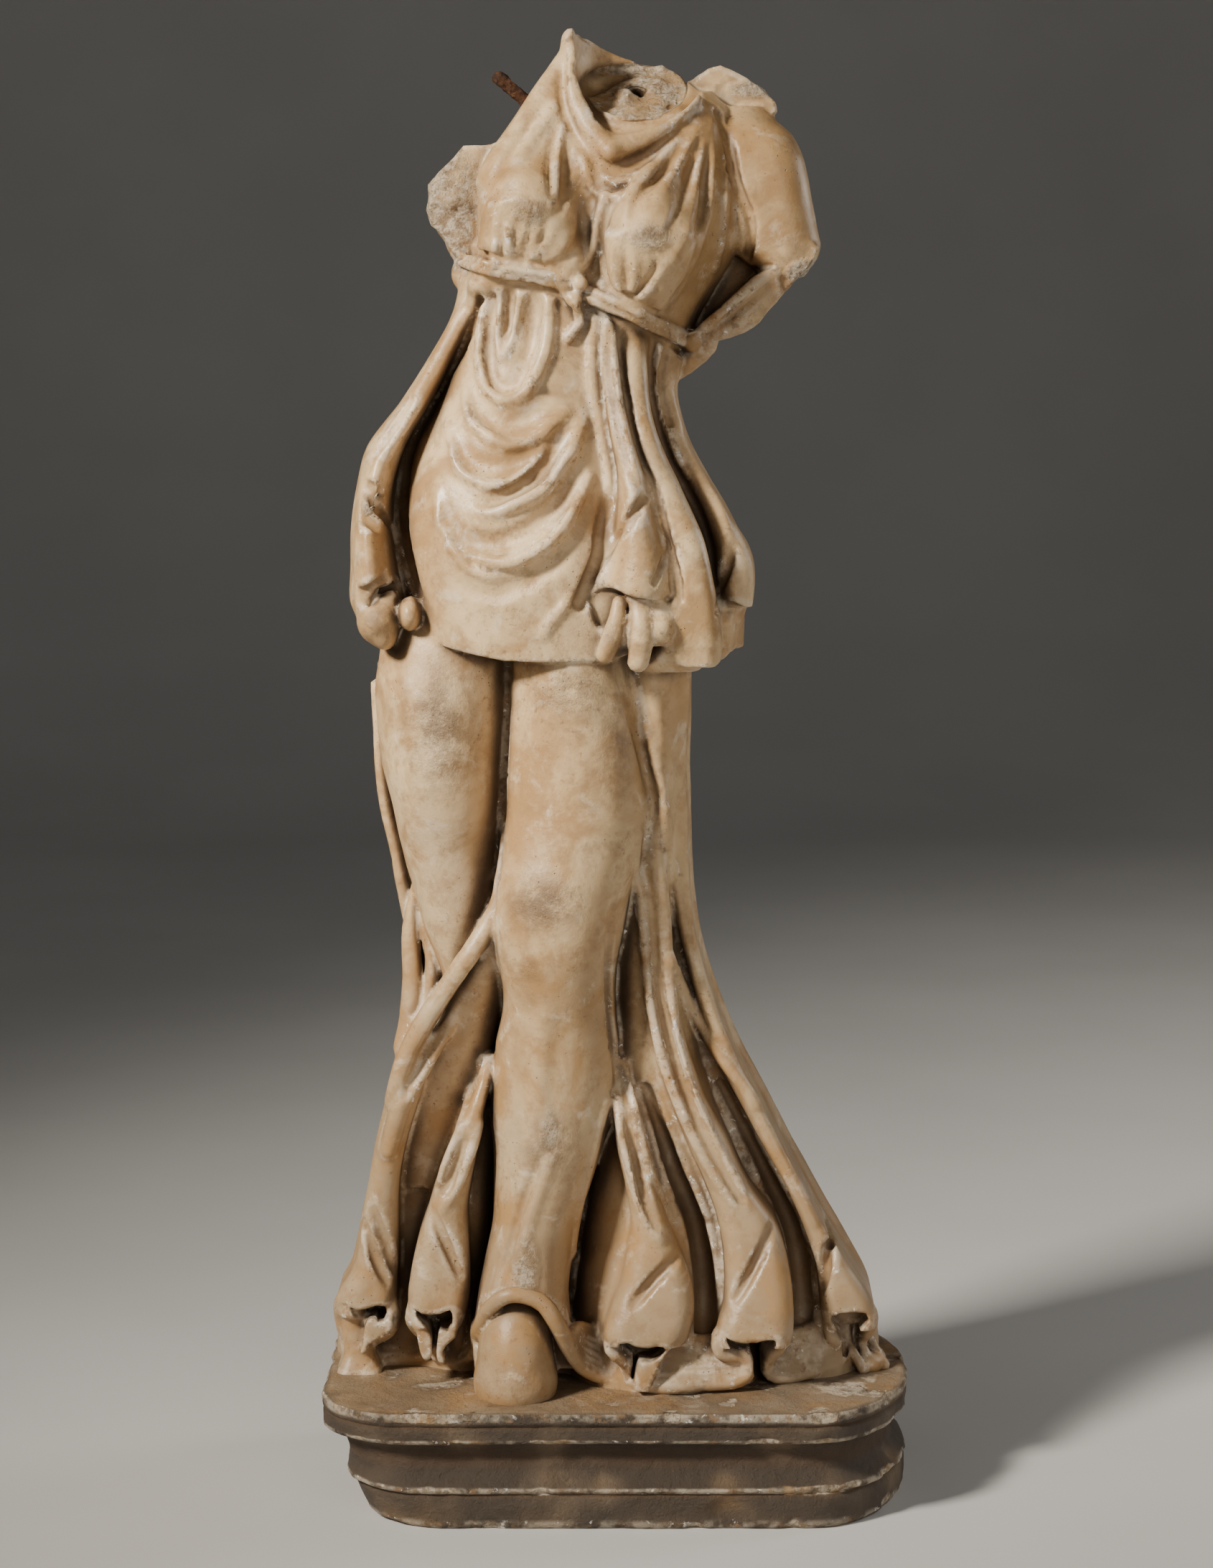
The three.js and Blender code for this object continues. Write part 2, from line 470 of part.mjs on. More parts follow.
// The overfold: a smooth belly with hanging loops of cloth, and bundles of folds at both sides
function carveOverfold(stone) {
  stone.mass(column(BELLY), 14);
  stone.mass(column(O1), 4);
  stone.mass(column(RIGHT_BACKING), 8);
  stone.mass(column(O3), 5);
  stone.mass(column(O2), 6);
  stone.mass(column(O5), 6);
  for (const [loop, height] of [
    [[[-78, 832], [-80, 812], [-78, 790], [-71, 808], [-64, 832]], 3],
    [[[-93, 796], [-89, 777], [-80, 763], [-70, 760], [-57, 770], [-48, 786], [-44, 808], [-41, 832]], 4],
    [[[-102, 764], [-96, 746], [-84, 734], [-71, 729], [-52, 734], [-33, 745], [-16, 760]], 4],
    [[[-114, 741], [-103, 716], [-90, 704], [-77, 701], [-60, 708], [-49, 720]], 3],
    [[[-90, 682], [-71, 685], [-48, 697], [-36, 713], [-24, 745]], 4],
    [[[-123, 698], [-118, 678], [-108, 656], [-93, 647], [-76, 649], [-53, 660], [-33, 680], [-22, 704], [-12, 724]], 5],
    [[[-14, 640], [-20, 626], [-32, 614], [-46, 606]], 3],
  ])
    stone.ridge(loop, 6, [height / 3, height, height, height, height / 3], 6);
  for (const hollow of [
    [[-90, 752], [-78, 746], [-62, 752], [-46, 768]], [[-94, 722], [-78, 716], [-56, 722], [-34, 735]],
    [[-100, 694], [-80, 690], [-60, 696]], [[-84, 668], [-62, 676], [-44, 692], [-30, 718]],
    [[-106, 640], [-88, 633], [-64, 638], [-44, 652]], [[-54, 816], [-60, 796], [-66, 784]],
  ])
    stone.groove(hollow, 8, [0.5, 3, 3, 0.5], 6);
  // Creases and the broken place of the left bundle
  stone.ridge([[-95, 828], [-106, 803], [-122, 767], [-139, 734], [-148, 714], [-153, 690], [-149, 660]], 5, 3, 4);
  stone.groove([[-123, 778], [-140, 750], [-154, 728]], 4, 2, 4);
  stone.groove([[-170, 696], [-166, 684], [-156, 670]], 6, 3, 3);
  // Ridges and diagonal pulls of the right bundles
  stone.ridge([[-5, 817], [-8, 787], [-6, 749], [1, 718], [2, 697], [-1, 674]], 5, 3, 4);
  stone.groove([[17, 694], [6, 676], [-4, 658]], 4, 4, 3);
  stone.groove([[37, 660], [31, 648], [26, 636]], 3, 3, 3);
  stone.ridge([[34, 784], [36, 757], [45, 728], [59, 696], [72, 665], [79, 638]], 4, 3, 3);
  stone.groove([[82, 663], [76, 644], [72, 630]], 3.5, 3, 3);
  carveOverfoldBack(stone);
}

// Plain folds behind, from the belt to the hem
function carveOverfoldBack(stone) {
  for (const [angle, lean] of [[20, 4], [48, 3], [76, 0], [104, -2], [132, -3], [160, -4]]) {
    const fold = [];
    for (let z = 815; z >= 590; z -= 25) fold.push(onColumn(TRUNK, z, angle + ((815 - z) / 225) * lean, -3));
    stone.rope(fold, [4, 8, 10, 12], 8);
  }
  for (const x of [-50, -16, 18]) {
    const groove = [];
    for (let z = 930; z >= 840; z -= 15) groove.push([x - (930 - z) * 0.1, 60, z]);
    stone.trench(groove, [2, 6, 3], 6);
  }
}

// The open ends of the overfold bundles, which curl round dark hollows
function carveOverfoldEnds(stone) {
  stone.rope([[-174, -56, 617], [-164, -60, 606], [-160, -58, 600]], [9, 11, 6], 4);
  stone.rope([[-140, -64, 622], [-138, -66, 612], [-141, -66, 604]], [5, 8, 6], 3);
  stone.hollow(ball([-157, -66, 632], [19, 22, 12]), 4);
  stone.hollow(ball([-10, -100, 620], [7, 20, 13]), 2);
  stone.hollow(ball([20, -90, 618], [15, 22, 15]), 3);
  stone.rope([[-17, -94, 634], [-20, -92, 622], [-17, -90, 611], [-8, -88, 601]], 4.5, 3);
  stone.rope([[-2, -94, 622], [-5, -93, 611], [-4, -90, 602]], 4.5, 3);
  stone.rope([[8, -80, 628], [5, -80, 611], [9, -80, 595]], 5, 3);
  stone.rope([[68, -46, 618], [68, -46, 604], [74, -46, 592], [83, -46, 592], [85, -46, 612]], [6, 7, 8, 7, 5], 4);
  stone.hollow(ball([73, -58, 614], [7, 12, 8]), 3);
}

// Legs, back cloth and the cloth between the folds
function carveLegs(stone) {
  stone.mass(column(SKIRT));
  for (const rows of PANELS) stone.mass(column(rows), 10);
  stone.mass(column(BACK_THIGH), 5);
  stone.mass(column(FRONT_LEG), 6);
  stone.mass(column(THIGH_CLOTH), 10);
  stone.mass(ball([-46, -58, 404], [34, 26, 46]), 22);
  stone.hollow(slab(FOOT_ARCH, -130, -66), 3);
  stone.mass(ball([-70, -74, 98], [27, 34, 46]), 3);
  stone.mass(column([[102, -97, -43, -108, -40], [84, -98, -42, -108, -40], [66, -98, -42, -106, -40]]), 3);
  stone.groove([[9, 579], [17, 550], [25, 515], [28, 481], [29, 446]], 4, 4, 3);
  stone.groove([[-74, 584], [-76, 545], [-78, 506], [-80, 466], [-83, 432], [-89, 402], [-100, 380]], 5, 6, 3);
  // Edge of the cloth along the shin, and creases above the foot
  stone.ridge([[-8, 282], [-18, 242], [-27, 207], [-32, 171], [-31, 140]], 5, 3, 4);
  stone.groove([[-57, 237], [-67, 212], [-75, 187], [-80, 162]], 4, 3, 4);
  stone.ridge([[-50, 345], [-54, 300], [-58, 256]], 8, 2, 8);
  // Strips of the back cloth at the left
  stone.rope([[-166, 10, 560], [-162, 10, 487], [-154, 10, 447], [-146, 10, 402], [-139, 10, 366], [-138, 8, 330]], 5, 4);
  stone.rope([[-134, 0, 400], [-129, -4, 370], [-131, -6, 344], [-138, -10, 320]], 5, 4);
}

// The great hanging folds of the skirt, from left to right
function carveFolds(stone) {
  stone.mass(column(T1), 8);
  stone.mass(column(T2), 6);
  stone.mass(column(T3), 6);
  stone.mass(column(T4), 8);
  stone.mass(column(T5), 8);
  // The rope of cloth that crosses the left thigh
  stone.rope([[-80, -58, 440], [-84, -62, 412], [-96, -66, 384], [-116, -64, 359], [-134, -60, 333], [-147, -54, 304],
    [-154, -48, 278]], [5, 6, 7, 7, 7.5, 8, 6], 4);
  stone.rope([[-100, -46, 352], [-111, -48, 335], [-129, -52, 307], [-147, -52, 276], [-158, -52, 244]], [3, 6, 7, 7, 6], 4);
  // Ridges and forks on the folds
  for (const [fold, radius, height] of [
    [[[-90, 303], [-101, 282], [-109, 259], [-119, 234], [-127, 209]], 4, 3],
    [[[-95, 262], [-104, 236], [-112, 219], [-121, 208]], 4, 3],
    [[[-1, 284], [4, 256], [12, 228], [21, 202], [29, 188]], 4, 3],
    [[[4, 300], [10, 278], [16, 253], [24, 226], [36, 197]], 4, 3],
    [[[16, 452], [17, 418], [20, 383], [24, 348], [32, 309], [46, 271], [64, 233], [79, 214]], 4, 3],
    [[[28, 460], [30, 422], [33, 378], [38, 338], [47, 298], [63, 258], [85, 220]], 4, 3],
    [[[29, 503], [35, 458], [42, 418], [50, 378], [62, 343], [75, 313], [90, 283], [107, 247], [123, 217], [134, 191]],
      4, 2],
    [[[36, 379], [49, 341], [65, 316], [80, 295], [96, 274]], 4, 5],
  ])
    stone.ridge(fold, radius, [height / 2, height, height, height, height / 3], 3);
  for (const crease of [
    [[-176, 189], [-170, 170], [-160, 151]], [[-169, 196], [-162, 174], [-155, 150]],
    [[-122, 201], [-115, 177], [-107, 160]], [[-104, 258], [-112, 238], [-118, 219]],
    [[6, 271], [13, 241], [21, 211], [26, 198]], [[32, 181], [19, 163], [6, 146]],
    [[22, 437], [24, 398], [28, 358], [35, 323], [46, 288], [62, 253], [84, 214]],
    [[101, 191], [90, 168], [78, 144]], [[148, 185], [143, 161], [139, 145]],
  ])
    stone.groove(crease, 4, [1, 4, 4, 2], 3);
}

// The hem: the mouth of each fold is hollow, and its edge curls back into the cloth beside it
function carveHem(stone) {
  stone.hollow(ball([-173, -66, 128], [15, 24, 12]), 3);
  stone.hollow(ball([-125, -82, 130], [15, 26, 13]), 3);
  stone.hollow(ball([4, -96, 112], [11, 30, 13]), 3);
  stone.hollow(ball([28, -96, 104], [14, 26, 15]), 3);
  stone.hollow(ball([92, -88, 108], [21, 32, 16]), 3);
  stone.hollow(ball([160, -58, 122], [13, 26, 13]), 3);
  // Left folds: the right side of each mouth hooks back to the left
  stone.rope([[-190, -52, 140], [-190, -52, 124], [-187, -50, 108], [-186, -50, 90]], 5, 3);
  stone.rope([[-157, -62, 140], [-155, -60, 127], [-160, -58, 117], [-170, -56, 112], [-175, -54, 105], [-170, -54, 99],
    [-155, -52, 98], [-140, -50, 99], [-132, -52, 104], [-130, -56, 114], [-134, -60, 122]], 4.5, 3);
  stone.rope([[-142, -74, 146], [-142, -74, 134], [-137, -72, 125], [-129, -70, 122]], 4.5, 3);
  stone.rope([[-109, -78, 144], [-110, -76, 131], [-119, -74, 122], [-124, -72, 113], [-121, -70, 104], [-112, -68, 101],
    [-102, -72, 105], [-98, -78, 116], [-95, -88, 130], [-88, -94, 145], [-77, -96, 154], [-64, -96, 155],
    [-51, -96, 149], [-42, -95, 136], [-35, -92, 119], [-27, -88, 106], [-15, -84, 97], [-3, -84, 97], [7, -86, 104]],
  4.5, 3);
  // Middle fold
  stone.rope([[-7, -92, 126], [-8, -92, 115], [-3, -91, 108], [8, -88, 110]], 4.5, 3);
  stone.rope([[28, -90, 115], [19, -90, 110], [13, -90, 101], [13, -88, 91], [22, -86, 86], [36, -84, 86], [51, -84, 88],
    [68, -84, 89], [83, -84, 91], [92, -84, 99], [85, -82, 107], [73, -82, 108], [66, -84, 114], [68, -86, 123]], 4.5, 3);
  // Right folds
  stone.rope([[111, -86, 123], [110, -84, 113], [102, -82, 106], [101, -80, 97], [107, -76, 90], [121, -70, 88],
    [138, -66, 92], [152, -64, 97], [157, -60, 105], [146, -58, 113], [143, -58, 130]], 4.5, 3);
  stone.rope([[175, -52, 132], [175, -50, 121], [167, -48, 112], [166, -46, 98]], 5, 3);
  stone.mass(ball([178, -22, 92], [14, 24, 15]), 4);
  stone.rope([[-190, -46, 112], [-194, -48, 88]], [6, 10], 5);
}

// Broad plain folds of the skirt at the back and sides
function carveSkirtBack(stone) {
  for (const angle of [-4, 18, 40, 62, 84, 106, 128, 150, 172, 190]) {
    const fold = [];
    for (let z = 585; z >= 60; z -= 40) fold.push(onColumn(SKIRT, z, angle, -4));
    stone.rope(fold, [5, 7, 9, 12, 14], 9);
  }
}

function carveFigure() {
  const upper = new Stone();
  carveBust(upper);
  carveOverfold(upper);
  carveBustFolds(upper);
  carveBelt(upper);
  const below = [[-215, 606], ...OVERFOLD_HEM, [215, 590], [215, 500], [-215, 500]];
  upper.hollow(slab(below, -140, 140));
  carveOverfoldEnds(upper);

  const figure = new Stone();
  carveLegs(figure);
  carveSkirtBack(figure);
  carveFolds(figure);
  carveHem(figure);
  figure.join(upper, 2);
  return figure;
}

// Meshes the zero surface: each cube is split into six tetrahedra, so the result is always closed.
function meshOf(stone) {
  const [nx, ny, nz] = stone.count;
  const values = stone.values;
  for (let k = 0; k < nz; k++)
    for (let j = 0; j < ny; j++)
      for (let i = 0; i < nx; i++) {
        const at = (k * ny + j) * nx + i;
        const edge = i === 0 || j === 0 || k === 0 || i === nx - 1 || j === ny - 1 || k === nz - 1;
        if (edge) values[at] = Math.max(values[at], GRID_STEP / 2);
        if (Math.abs(values[at]) < 0.02) values[at] = 0.02;
      }
  const points = [];
  const faces = [];
  const made = new Map();
  const total = nx * ny * nz;
  const pointOn = (a, b) => {
    const key = a < b ? a * total + b : b * total + a;
    let index = made.get(key);
    if (index === undefined) {
      index = points.length / 3;
      made.set(key, index);
      const t = values[a] / (values[a] - values[b]);
      const corner = (at) => [at % nx, Math.floor(at / nx) % ny, Math.floor(at / (nx * ny))];
      const [p, q] = [corner(a), corner(b)];
      for (let c = 0; c < 3; c++) points.push(BLOCK_LOW[c] + mix(p[c], q[c], t) * GRID_STEP);
    }
    return index;
  };
  // The six tetrahedra share the cube's long diagonal. Corner numbers hold x, y and z as bits.
  const tetrahedra = [[0, 1, 3, 7], [0, 3, 2, 7], [0, 2, 6, 7], [0, 6, 4, 7], [0, 4, 5, 7], [0, 5, 1, 7]];
  const offset = [0, 1, 2, 3, 4, 5, 6, 7].map((b) => (b & 1) + ((b >> 1) & 1) * nx + ((b >> 2) & 1) * nx * ny);
  const emit = (a, b, c) => {
    if (a !== b && b !== c && a !== c) faces.push(a, b, c);
  };
  for (let k = 0; k + 1 < nz; k++)
    for (let j = 0; j + 1 < ny; j++)
      for (let i = 0; i + 1 < nx; i++) {
        const base = (k * ny + j) * nx + i;
        let solid = 0;
        for (let b = 0; b < 8; b++) if (values[base + offset[b]] < 0) solid++;
        if (solid === 0 || solid === 8) continue;
        for (const tetrahedron of tetrahedra) {
          const at = tetrahedron.map((b) => base + offset[b]);
          const inside = at.filter((v) => values[v] < 0);
          if (inside.length === 0 || inside.length === 4) continue;
          const odd = at.reduce((mask, v, n) => mask | ((values[v] < 0 ? 1 : 0) << n), 0);
          emitTetrahedron(at, odd, pointOn, emit);
        }
      }
  return { points, faces };
}

// The triangles of one tetrahedron, wound to face out of the stone. mask marks its solid corners.
function emitTetrahedron([a, b, c, d], mask, pointOn, emit) {
  const e = (p, q) => pointOn(p, q);
  const flip = mask > 7 ? 15 - mask : mask;
  const solidSide = mask > 7;
  const tri = (p, q, r) => (solidSide ? emit(p, r, q) : emit(p, q, r));
  if (flip === 1) tri(e(a, b), e(a, c), e(a, d));
  else if (flip === 2) tri(e(b, a), e(b, d), e(b, c));
  else if (flip === 4) tri(e(c, a), e(c, b), e(c, d));
  else if (flip === 7) tri(e(d, a), e(d, b), e(d, c));
  else if (flip === 3) quad(tri, e(a, c), e(a, d), e(b, d), e(b, c));
  else if (flip === 5) quad(tri, e(a, b), e(c, b), e(c, d), e(a, d));
  else if (flip === 6) quad(tri, e(b, a), e(b, d), e(c, d), e(c, a));
}

function quad(tri, p, q, r, s) {
  tri(p, q, r);
  tri(p, r, s);
}

// Thins a closed mesh: it takes out the edge that changes the shape least, until few enough are left.
function thin({ points, faces }, target) {
  const at = Float64Array.from(points);
  const face = Int32Array.from(faces);
  const around = Array.from({ length: at.length / 3 }, () => []);
  const quadrics = new Float64Array((at.length / 3) * 10);
  const version = new Int32Array(at.length / 3);
  const pointOf = (v) => [at[3 * v], at[3 * v + 1], at[3 * v + 2]];
  const normalOf = (p, q, r) => cross(add(q, p, -1), add(r, p, -1));
  let alive = face.length / 3;

  for (let f = 0; f < face.length; f += 3) {
    const corners = [face[f], face[f + 1], face[f + 2]];
    const [p, q, r] = corners.map(pointOf);
    const normal = normalOf(p, q, r);
    const area = Math.hypot(...normal) || 1e-12;
    const [a, b, c] = normal.map((value) => value / area);
    const d = -(a * p[0] + b * p[1] + c * p[2]);
    const terms = [a * a, a * b, a * c, a * d, b * b, b * c, b * d, c * c, c * d, d * d];
    for (const v of corners) {
      around[v].push(f);
      terms.forEach((term, i) => (quadrics[v * 10 + i] += term * area));
    }
  }

  const errorAt = (q, [x, y, z]) =>
    q[0] * x * x + 2 * q[1] * x * y + 2 * q[2] * x * z + 2 * q[3] * x + q[4] * y * y +
    2 * q[5] * y * z + 2 * q[6] * y + q[7] * z * z + 2 * q[8] * z + q[9];
  // The best place for the point that replaces an edge, and the error it leaves
  const replacement = (v, w) => {
    const q = new Float64Array(10);
    for (let i = 0; i < 10; i++) q[i] = quadrics[v * 10 + i] + quadrics[w * 10 + i];
    const [p, r] = [pointOf(v), pointOf(w)];
    const middle = [0, 1, 2].map((c) => (p[c] + r[c]) / 2);
    const length = Math.hypot(...add(p, r, -1));
    const det = q[0] * (q[4] * q[7] - q[5] * q[5]) - q[1] * (q[1] * q[7] - q[5] * q[2]) +
      q[2] * (q[1] * q[5] - q[4] * q[2]);
    let best = middle;
    if (Math.abs(det) > 1e-6 * (q[0] + q[4] + q[7]) ** 3) {
      const [x, y, z] = [-q[3], -q[6], -q[8]];
      const solved = [
        (x * (q[4] * q[7] - q[5] * q[5]) - q[1] * (y * q[7] - q[5] * z) + q[2] * (y * q[5] - q[4] * z)) / det,
        (q[0] * (y * q[7] - z * q[5]) - x * (q[1] * q[7] - q[5] * q[2]) + q[2] * (q[1] * z - y * q[2])) / det,
        (q[0] * (q[4] * z - q[5] * y) - q[1] * (q[1] * z - y * q[2]) + x * (q[1] * q[5] - q[4] * q[2])) / det,
      ];
      if (Math.hypot(...add(solved, middle, -1)) < 2 * length + 1) best = solved;
    } else for (const option of [p, r]) if (errorAt(q, option) < errorAt(q, best)) best = option;
    return [best, Math.max(errorAt(q, best), 0) + 0.002 * length * length];
  };

  // A heap of edges, cheapest first. An entry is stale once either end has moved on.
  const heap = [];
  const push = (v, w) => {
    const entry = [replacement(v, w)[1], v, w, version[v], version[w]];
    let i = heap.length;
    heap.push(entry);
    while (i > 0 && heap[(i - 1) >> 1][0] > entry[0]) {
      heap[i] = heap[(i - 1) >> 1];
      i = (i - 1) >> 1;
    }
    heap[i] = entry;
  };
  const pop = () => {
    const top = heap[0];
    const entry = heap.pop();
    if (!heap.length) return top;
    let i = 0;
    for (;;) {
      let child = 2 * i + 1;
      if (child >= heap.length) break;
      if (child + 1 < heap.length && heap[child + 1][0] < heap[child][0]) child++;
      if (heap[child][0] >= entry[0]) break;
      heap[i] = heap[child];
      i = child;
    }
    heap[i] = entry;
    return top;
  };
  for (let f = 0; f < face.length; f += 3)
    for (let c = 0; c < 3; c++) if (face[f + c] < face[f + ((c + 1) % 3)]) push(face[f + c], face[f + ((c + 1) % 3)]);

  const neighbours = (v) => new Set(around[v].flatMap((f) => [face[f], face[f + 1], face[f + 2]]));
  const keepsFacing = (v, w, target) =>
    around[v].every((f) => {
      const corners = [face[f], face[f + 1], face[f + 2]];
      if (corners.includes(w)) return true;
      const before = normalOf(...corners.map(pointOf));
      const after = normalOf(...corners.map((corner) => (corner === v ? target : pointOf(corner))));
      const dot = before[0] * after[0] + before[1] * after[1] + before[2] * after[2];
      return dot > 0.25 * Math.hypot(...before) * Math.hypot(...after) && Math.hypot(...after) > 0.02;
    });

  while (alive > target && heap.length) {
    const [, v, w, vVersion, wVersion] = pop();
    if (version[v] !== vVersion || version[w] !== wVersion) continue;
    const near = neighbours(v);
    const shared = [...neighbours(w)].filter((u) => near.has(u) && u !== v && u !== w);
    if (shared.length !== 2) continue;
    const [place] = replacement(v, w);
    if (!keepsFacing(v, w, place) || !keepsFacing(w, v, place)) continue;
    const gone = around[v].filter((f) => [face[f], face[f + 1], face[f + 2]].includes(w));
    for (const u of shared) around[u] = around[u].filter((f) => !gone.includes(f));
    for (const f of around[w]) for (let c = 0; c < 3; c++) if (face[f + c] === w) face[f + c] = v;
    around[v] = [...around[v], ...around[w]].filter((f, i, all) => !gone.includes(f) && all.indexOf(f) === i);
    around[w] = [];
    version[w]++;
    version[v]++;
    for (const f of gone) face.fill(-1, f, f + 3);
    at.set(place, 3 * v);
    for (let i = 0; i < 10; i++) quadrics[v * 10 + i] += quadrics[w * 10 + i];
    alive -= gone.length;
    for (const u of neighbours(v)) if (u !== v) push(u, v);
  }

  const [numbers, kept, corners] = [new Map(), [], []];
  for (const v of face) {
    if (v < 0) continue;
    if (!numbers.has(v)) {
      numbers.set(v, kept.length / 3);
      kept.push(...pointOf(v));
    }
    corners.push(numbers.get(v));
  }
  return { points: kept, faces: corners };
}

// A closed mesh through rings of points that all have the same count, from one end to the other
function loft(rings) {
  const count = rings[0].length;
  const points = rings.flat(2);
  const faces = [];
  const last = rings.length - 1;
  for (let r = 0; r < last; r++)
    for (let i = 0; i < count; i++) {
      const j = (i + 1) % count;
      const [a, b, c, d] = [r * count + i, r * count + j, (r + 1) * count + j, (r + 1) * count + i];
      faces.push(a, b, c, a, c, d);
    }
  for (const [ring, turn] of [[0, 1], [last, -1]]) {
    const centre = points.length / 3;
    points.push(...[0, 1, 2].map((c) => rings[ring].reduce((sum, p) => sum + p[c] / count, 0)));
    for (let i = 0; i < count; i++) {
      const [p, q] = [ring * count + i, ring * count + ((i + 1) % count)];
      faces.push(centre, turn > 0 ? q : p, turn > 0 ? p : q);
    }
  }
  return { points, faces };
}

// A ring round an axis. Its two side directions are square to the axis.
function ringAbout(centre, axis, radius, sides, wobble = () => 1) {
  const side = unit(cross(axis, Math.abs(axis[1]) < 0.9 ? [0, 1, 0] : [1, 0, 0]));
  const other = cross(axis, side);
  return Array.from({ length: sides }, (_, i) => {
    const turn = (2 * Math.PI * i) / sides;
    const r = radius * wobble(i);
    return add(add(centre, side, r * Math.cos(turn)), other, r * Math.sin(turn));
  });
}

// The plinth's outline, drawn in by an inset, and drawn in further at the left end
function plinthOutline(inset, leftInset, z) {
  const [halfWidth, halfDepth] = [PLINTH.width / 2, PLINTH.depth / 2];
  const corners = [];
  const arc = (cx, cy, rx, ry, from, to, steps) => {
    for (let i = 0; i <= steps; i++) {
      const turn = ((from + ((to - from) * i) / steps) * Math.PI) / 180;
      corners.push([cx + (rx - inset) * Math.cos(turn), cy + (ry - inset) * Math.sin(turn), z]);
    }
  };
  const left = -halfWidth + PLINTH.corner + leftInset;
  arc(halfWidth - PLINTH.rightEnd, 0, PLINTH.rightEnd, halfDepth, -90, 90, 12);
  arc(left, halfDepth - PLINTH.corner, PLINTH.corner, PLINTH.corner, 90, 180, 5);
  arc(left, -halfDepth + PLINTH.corner, PLINTH.corner, PLINTH.corner, 180, 270, 6);
  return corners;
}

// Two slabs with a scored line round each, and a hollow moulding between them
function plinthMesh() {
  const profile = [
    [0, 5, 12], [3, 2, 10], [22.5, 2.4, 9], [24.5, 5, 9], [26.5, 2.6, 8], [31, 3, 7], [35, 8, 5], [43, 12.5, 3],
    [52, 12, 1], [59, 5, 0], [61, 1.5, 0], [70.5, 0.8, 0], [72, 3, 0], [73.5, 0.5, 0], [80, 0, 0],
    [PLINTH.height, 2.5, 0],
  ];
  return loft(profile.map(([z, inset, leftInset]) => plinthOutline(inset, leftInset, z)));
}

// Places where the lower edge of the plinth has broken away: [centre, half sizes, turns about Z and X]
const PLINTH_BREAKS = [
  [[-186, -128, 2], [26, 14, 9], -34, 22], [[62, -132, 8], [20, 12, 14], 12, -24], [[150, -130, 0], [34, 12, 6], 24, 20],
  [[-60, -130, 0], [60, 10, 5], 2, 24], [[-40, -127, 84], [46, 5, 3.5], 2, -30], [[96, -127, 84], [30, 5, 4], 3, -30],
];

function boxMesh([centre, half, turnZ, turnX]) {
  const turned = new THREE.Euler((turnX * Math.PI) / 180, 0, (turnZ * Math.PI) / 180, "ZYX");
  const ring = (dz) =>
    [[-1, -1], [1, -1], [1, 1], [-1, 1]].map(([dx, dy]) => {
      const corner = new THREE.Vector3(dx * half[0], dy * half[1], dz * half[2]).applyEuler(turned);
      return add(centre, corner.toArray());
    });
  return loft([ring(-1), ring(1)]);
}

const wasm = await Module();
wasm.setup();

function solid({ points, faces }) {
  const mesh = new wasm.Mesh({
    numProp: 3,
    vertProperties: Float32Array.from(points),
    triVerts: Uint32Array.from(faces),
  });
  return new wasm.Manifold(mesh);
}

// The sloping bed cut for the head, inside the neckline, with its dowel hole
function cutNeck(figure) {
  const slope = (NECK.backZ - NECK.frontZ) / (NECK.backY - NECK.frontY);
  const planeZ = (y) => NECK.frontZ + slope * (y - NECK.frontY);
  const [near, far, top] = [-90, 90, 1030];
  const opening = loft([far, near].map((y) => NECKLINE.map(([x, z]) => [x, y, z === 1012 ? top : z])));
  const above = loft([-70, 70].map((x) => [[x, near, planeZ(near)], [x, far, planeZ(far)], [x, far, 1060], [x, near, 1060]]));
  const axis = unit([0, -slope, 1]);
  const mouth = [NECK_HOLE.x, NECK_HOLE.y, planeZ(NECK_HOLE.y)];
  const hole = loft([-NECK_HOLE.depth, 10].map((d) =>
    ringAbout(add(mouth, axis, d), axis, NECK_HOLE.radius, NECK_HOLE.sides)));
  return figure.subtract(solid(opening).intersect(solid(above))).subtract(solid(hole));
}

const dowelAxis = unit(add(DOWEL.tip, DOWEL.root, -1));
const dowelLength = Math.hypot(...add(DOWEL.tip, DOWEL.root, -1));

// The hole the iron dowel stands in, a little wider and deeper than the dowel
function socketMesh() {
  const depths = [-DOWEL.buried - SOCKET_GAP, dowelLength + 20];
  return loft(depths.map((d) =>
    ringAbout(add(DOWEL.root, dowelAxis, d), dowelAxis, DOWEL.radius + SOCKET_GAP, 16)));
}

// A corroded square-ended dowel, thinned and split towards its tip
function dowelMesh() {
  const stations = [
    [-DOWEL.buried, 0.9], [-DOWEL.buried + 3, 0.97], [0, 0.97], [9, 0.9], [17, 0.98], [24, 0.86], [dowelLength - 2, 0.9],
    [dowelLength + 1, 0.5],
  ];
  return loft(stations.map(([d, size], station) => {
    const rough = station > 2 ? (i) => 1 - 0.16 * Math.abs(Math.sin(2.3 * i + 1.7 * station)) : () => 1;
    return ringAbout(add(DOWEL.root, dowelAxis, d), dowelAxis, DOWEL.radius * size, DOWEL.sides, rough);
  }));
}

function meshFrom(manifold, name, material) {
  const { vertProperties, triVerts } = manifold.getMesh();
  const geometry = new THREE.BufferGeometry();
  geometry.setAttribute("position", new THREE.BufferAttribute(vertProperties, 3));
  geometry.setIndex(new THREE.BufferAttribute(triVerts, 1));
  geometry.computeVertexNormals();
  const mesh = new THREE.Mesh(geometry, new THREE.MeshStandardMaterial(material));
  mesh.name = name;
  return mesh;
}

function largestBody(manifold) {
  return manifold.decompose().reduce((a, b) => (b.volume() > a.volume() ? b : a));
}

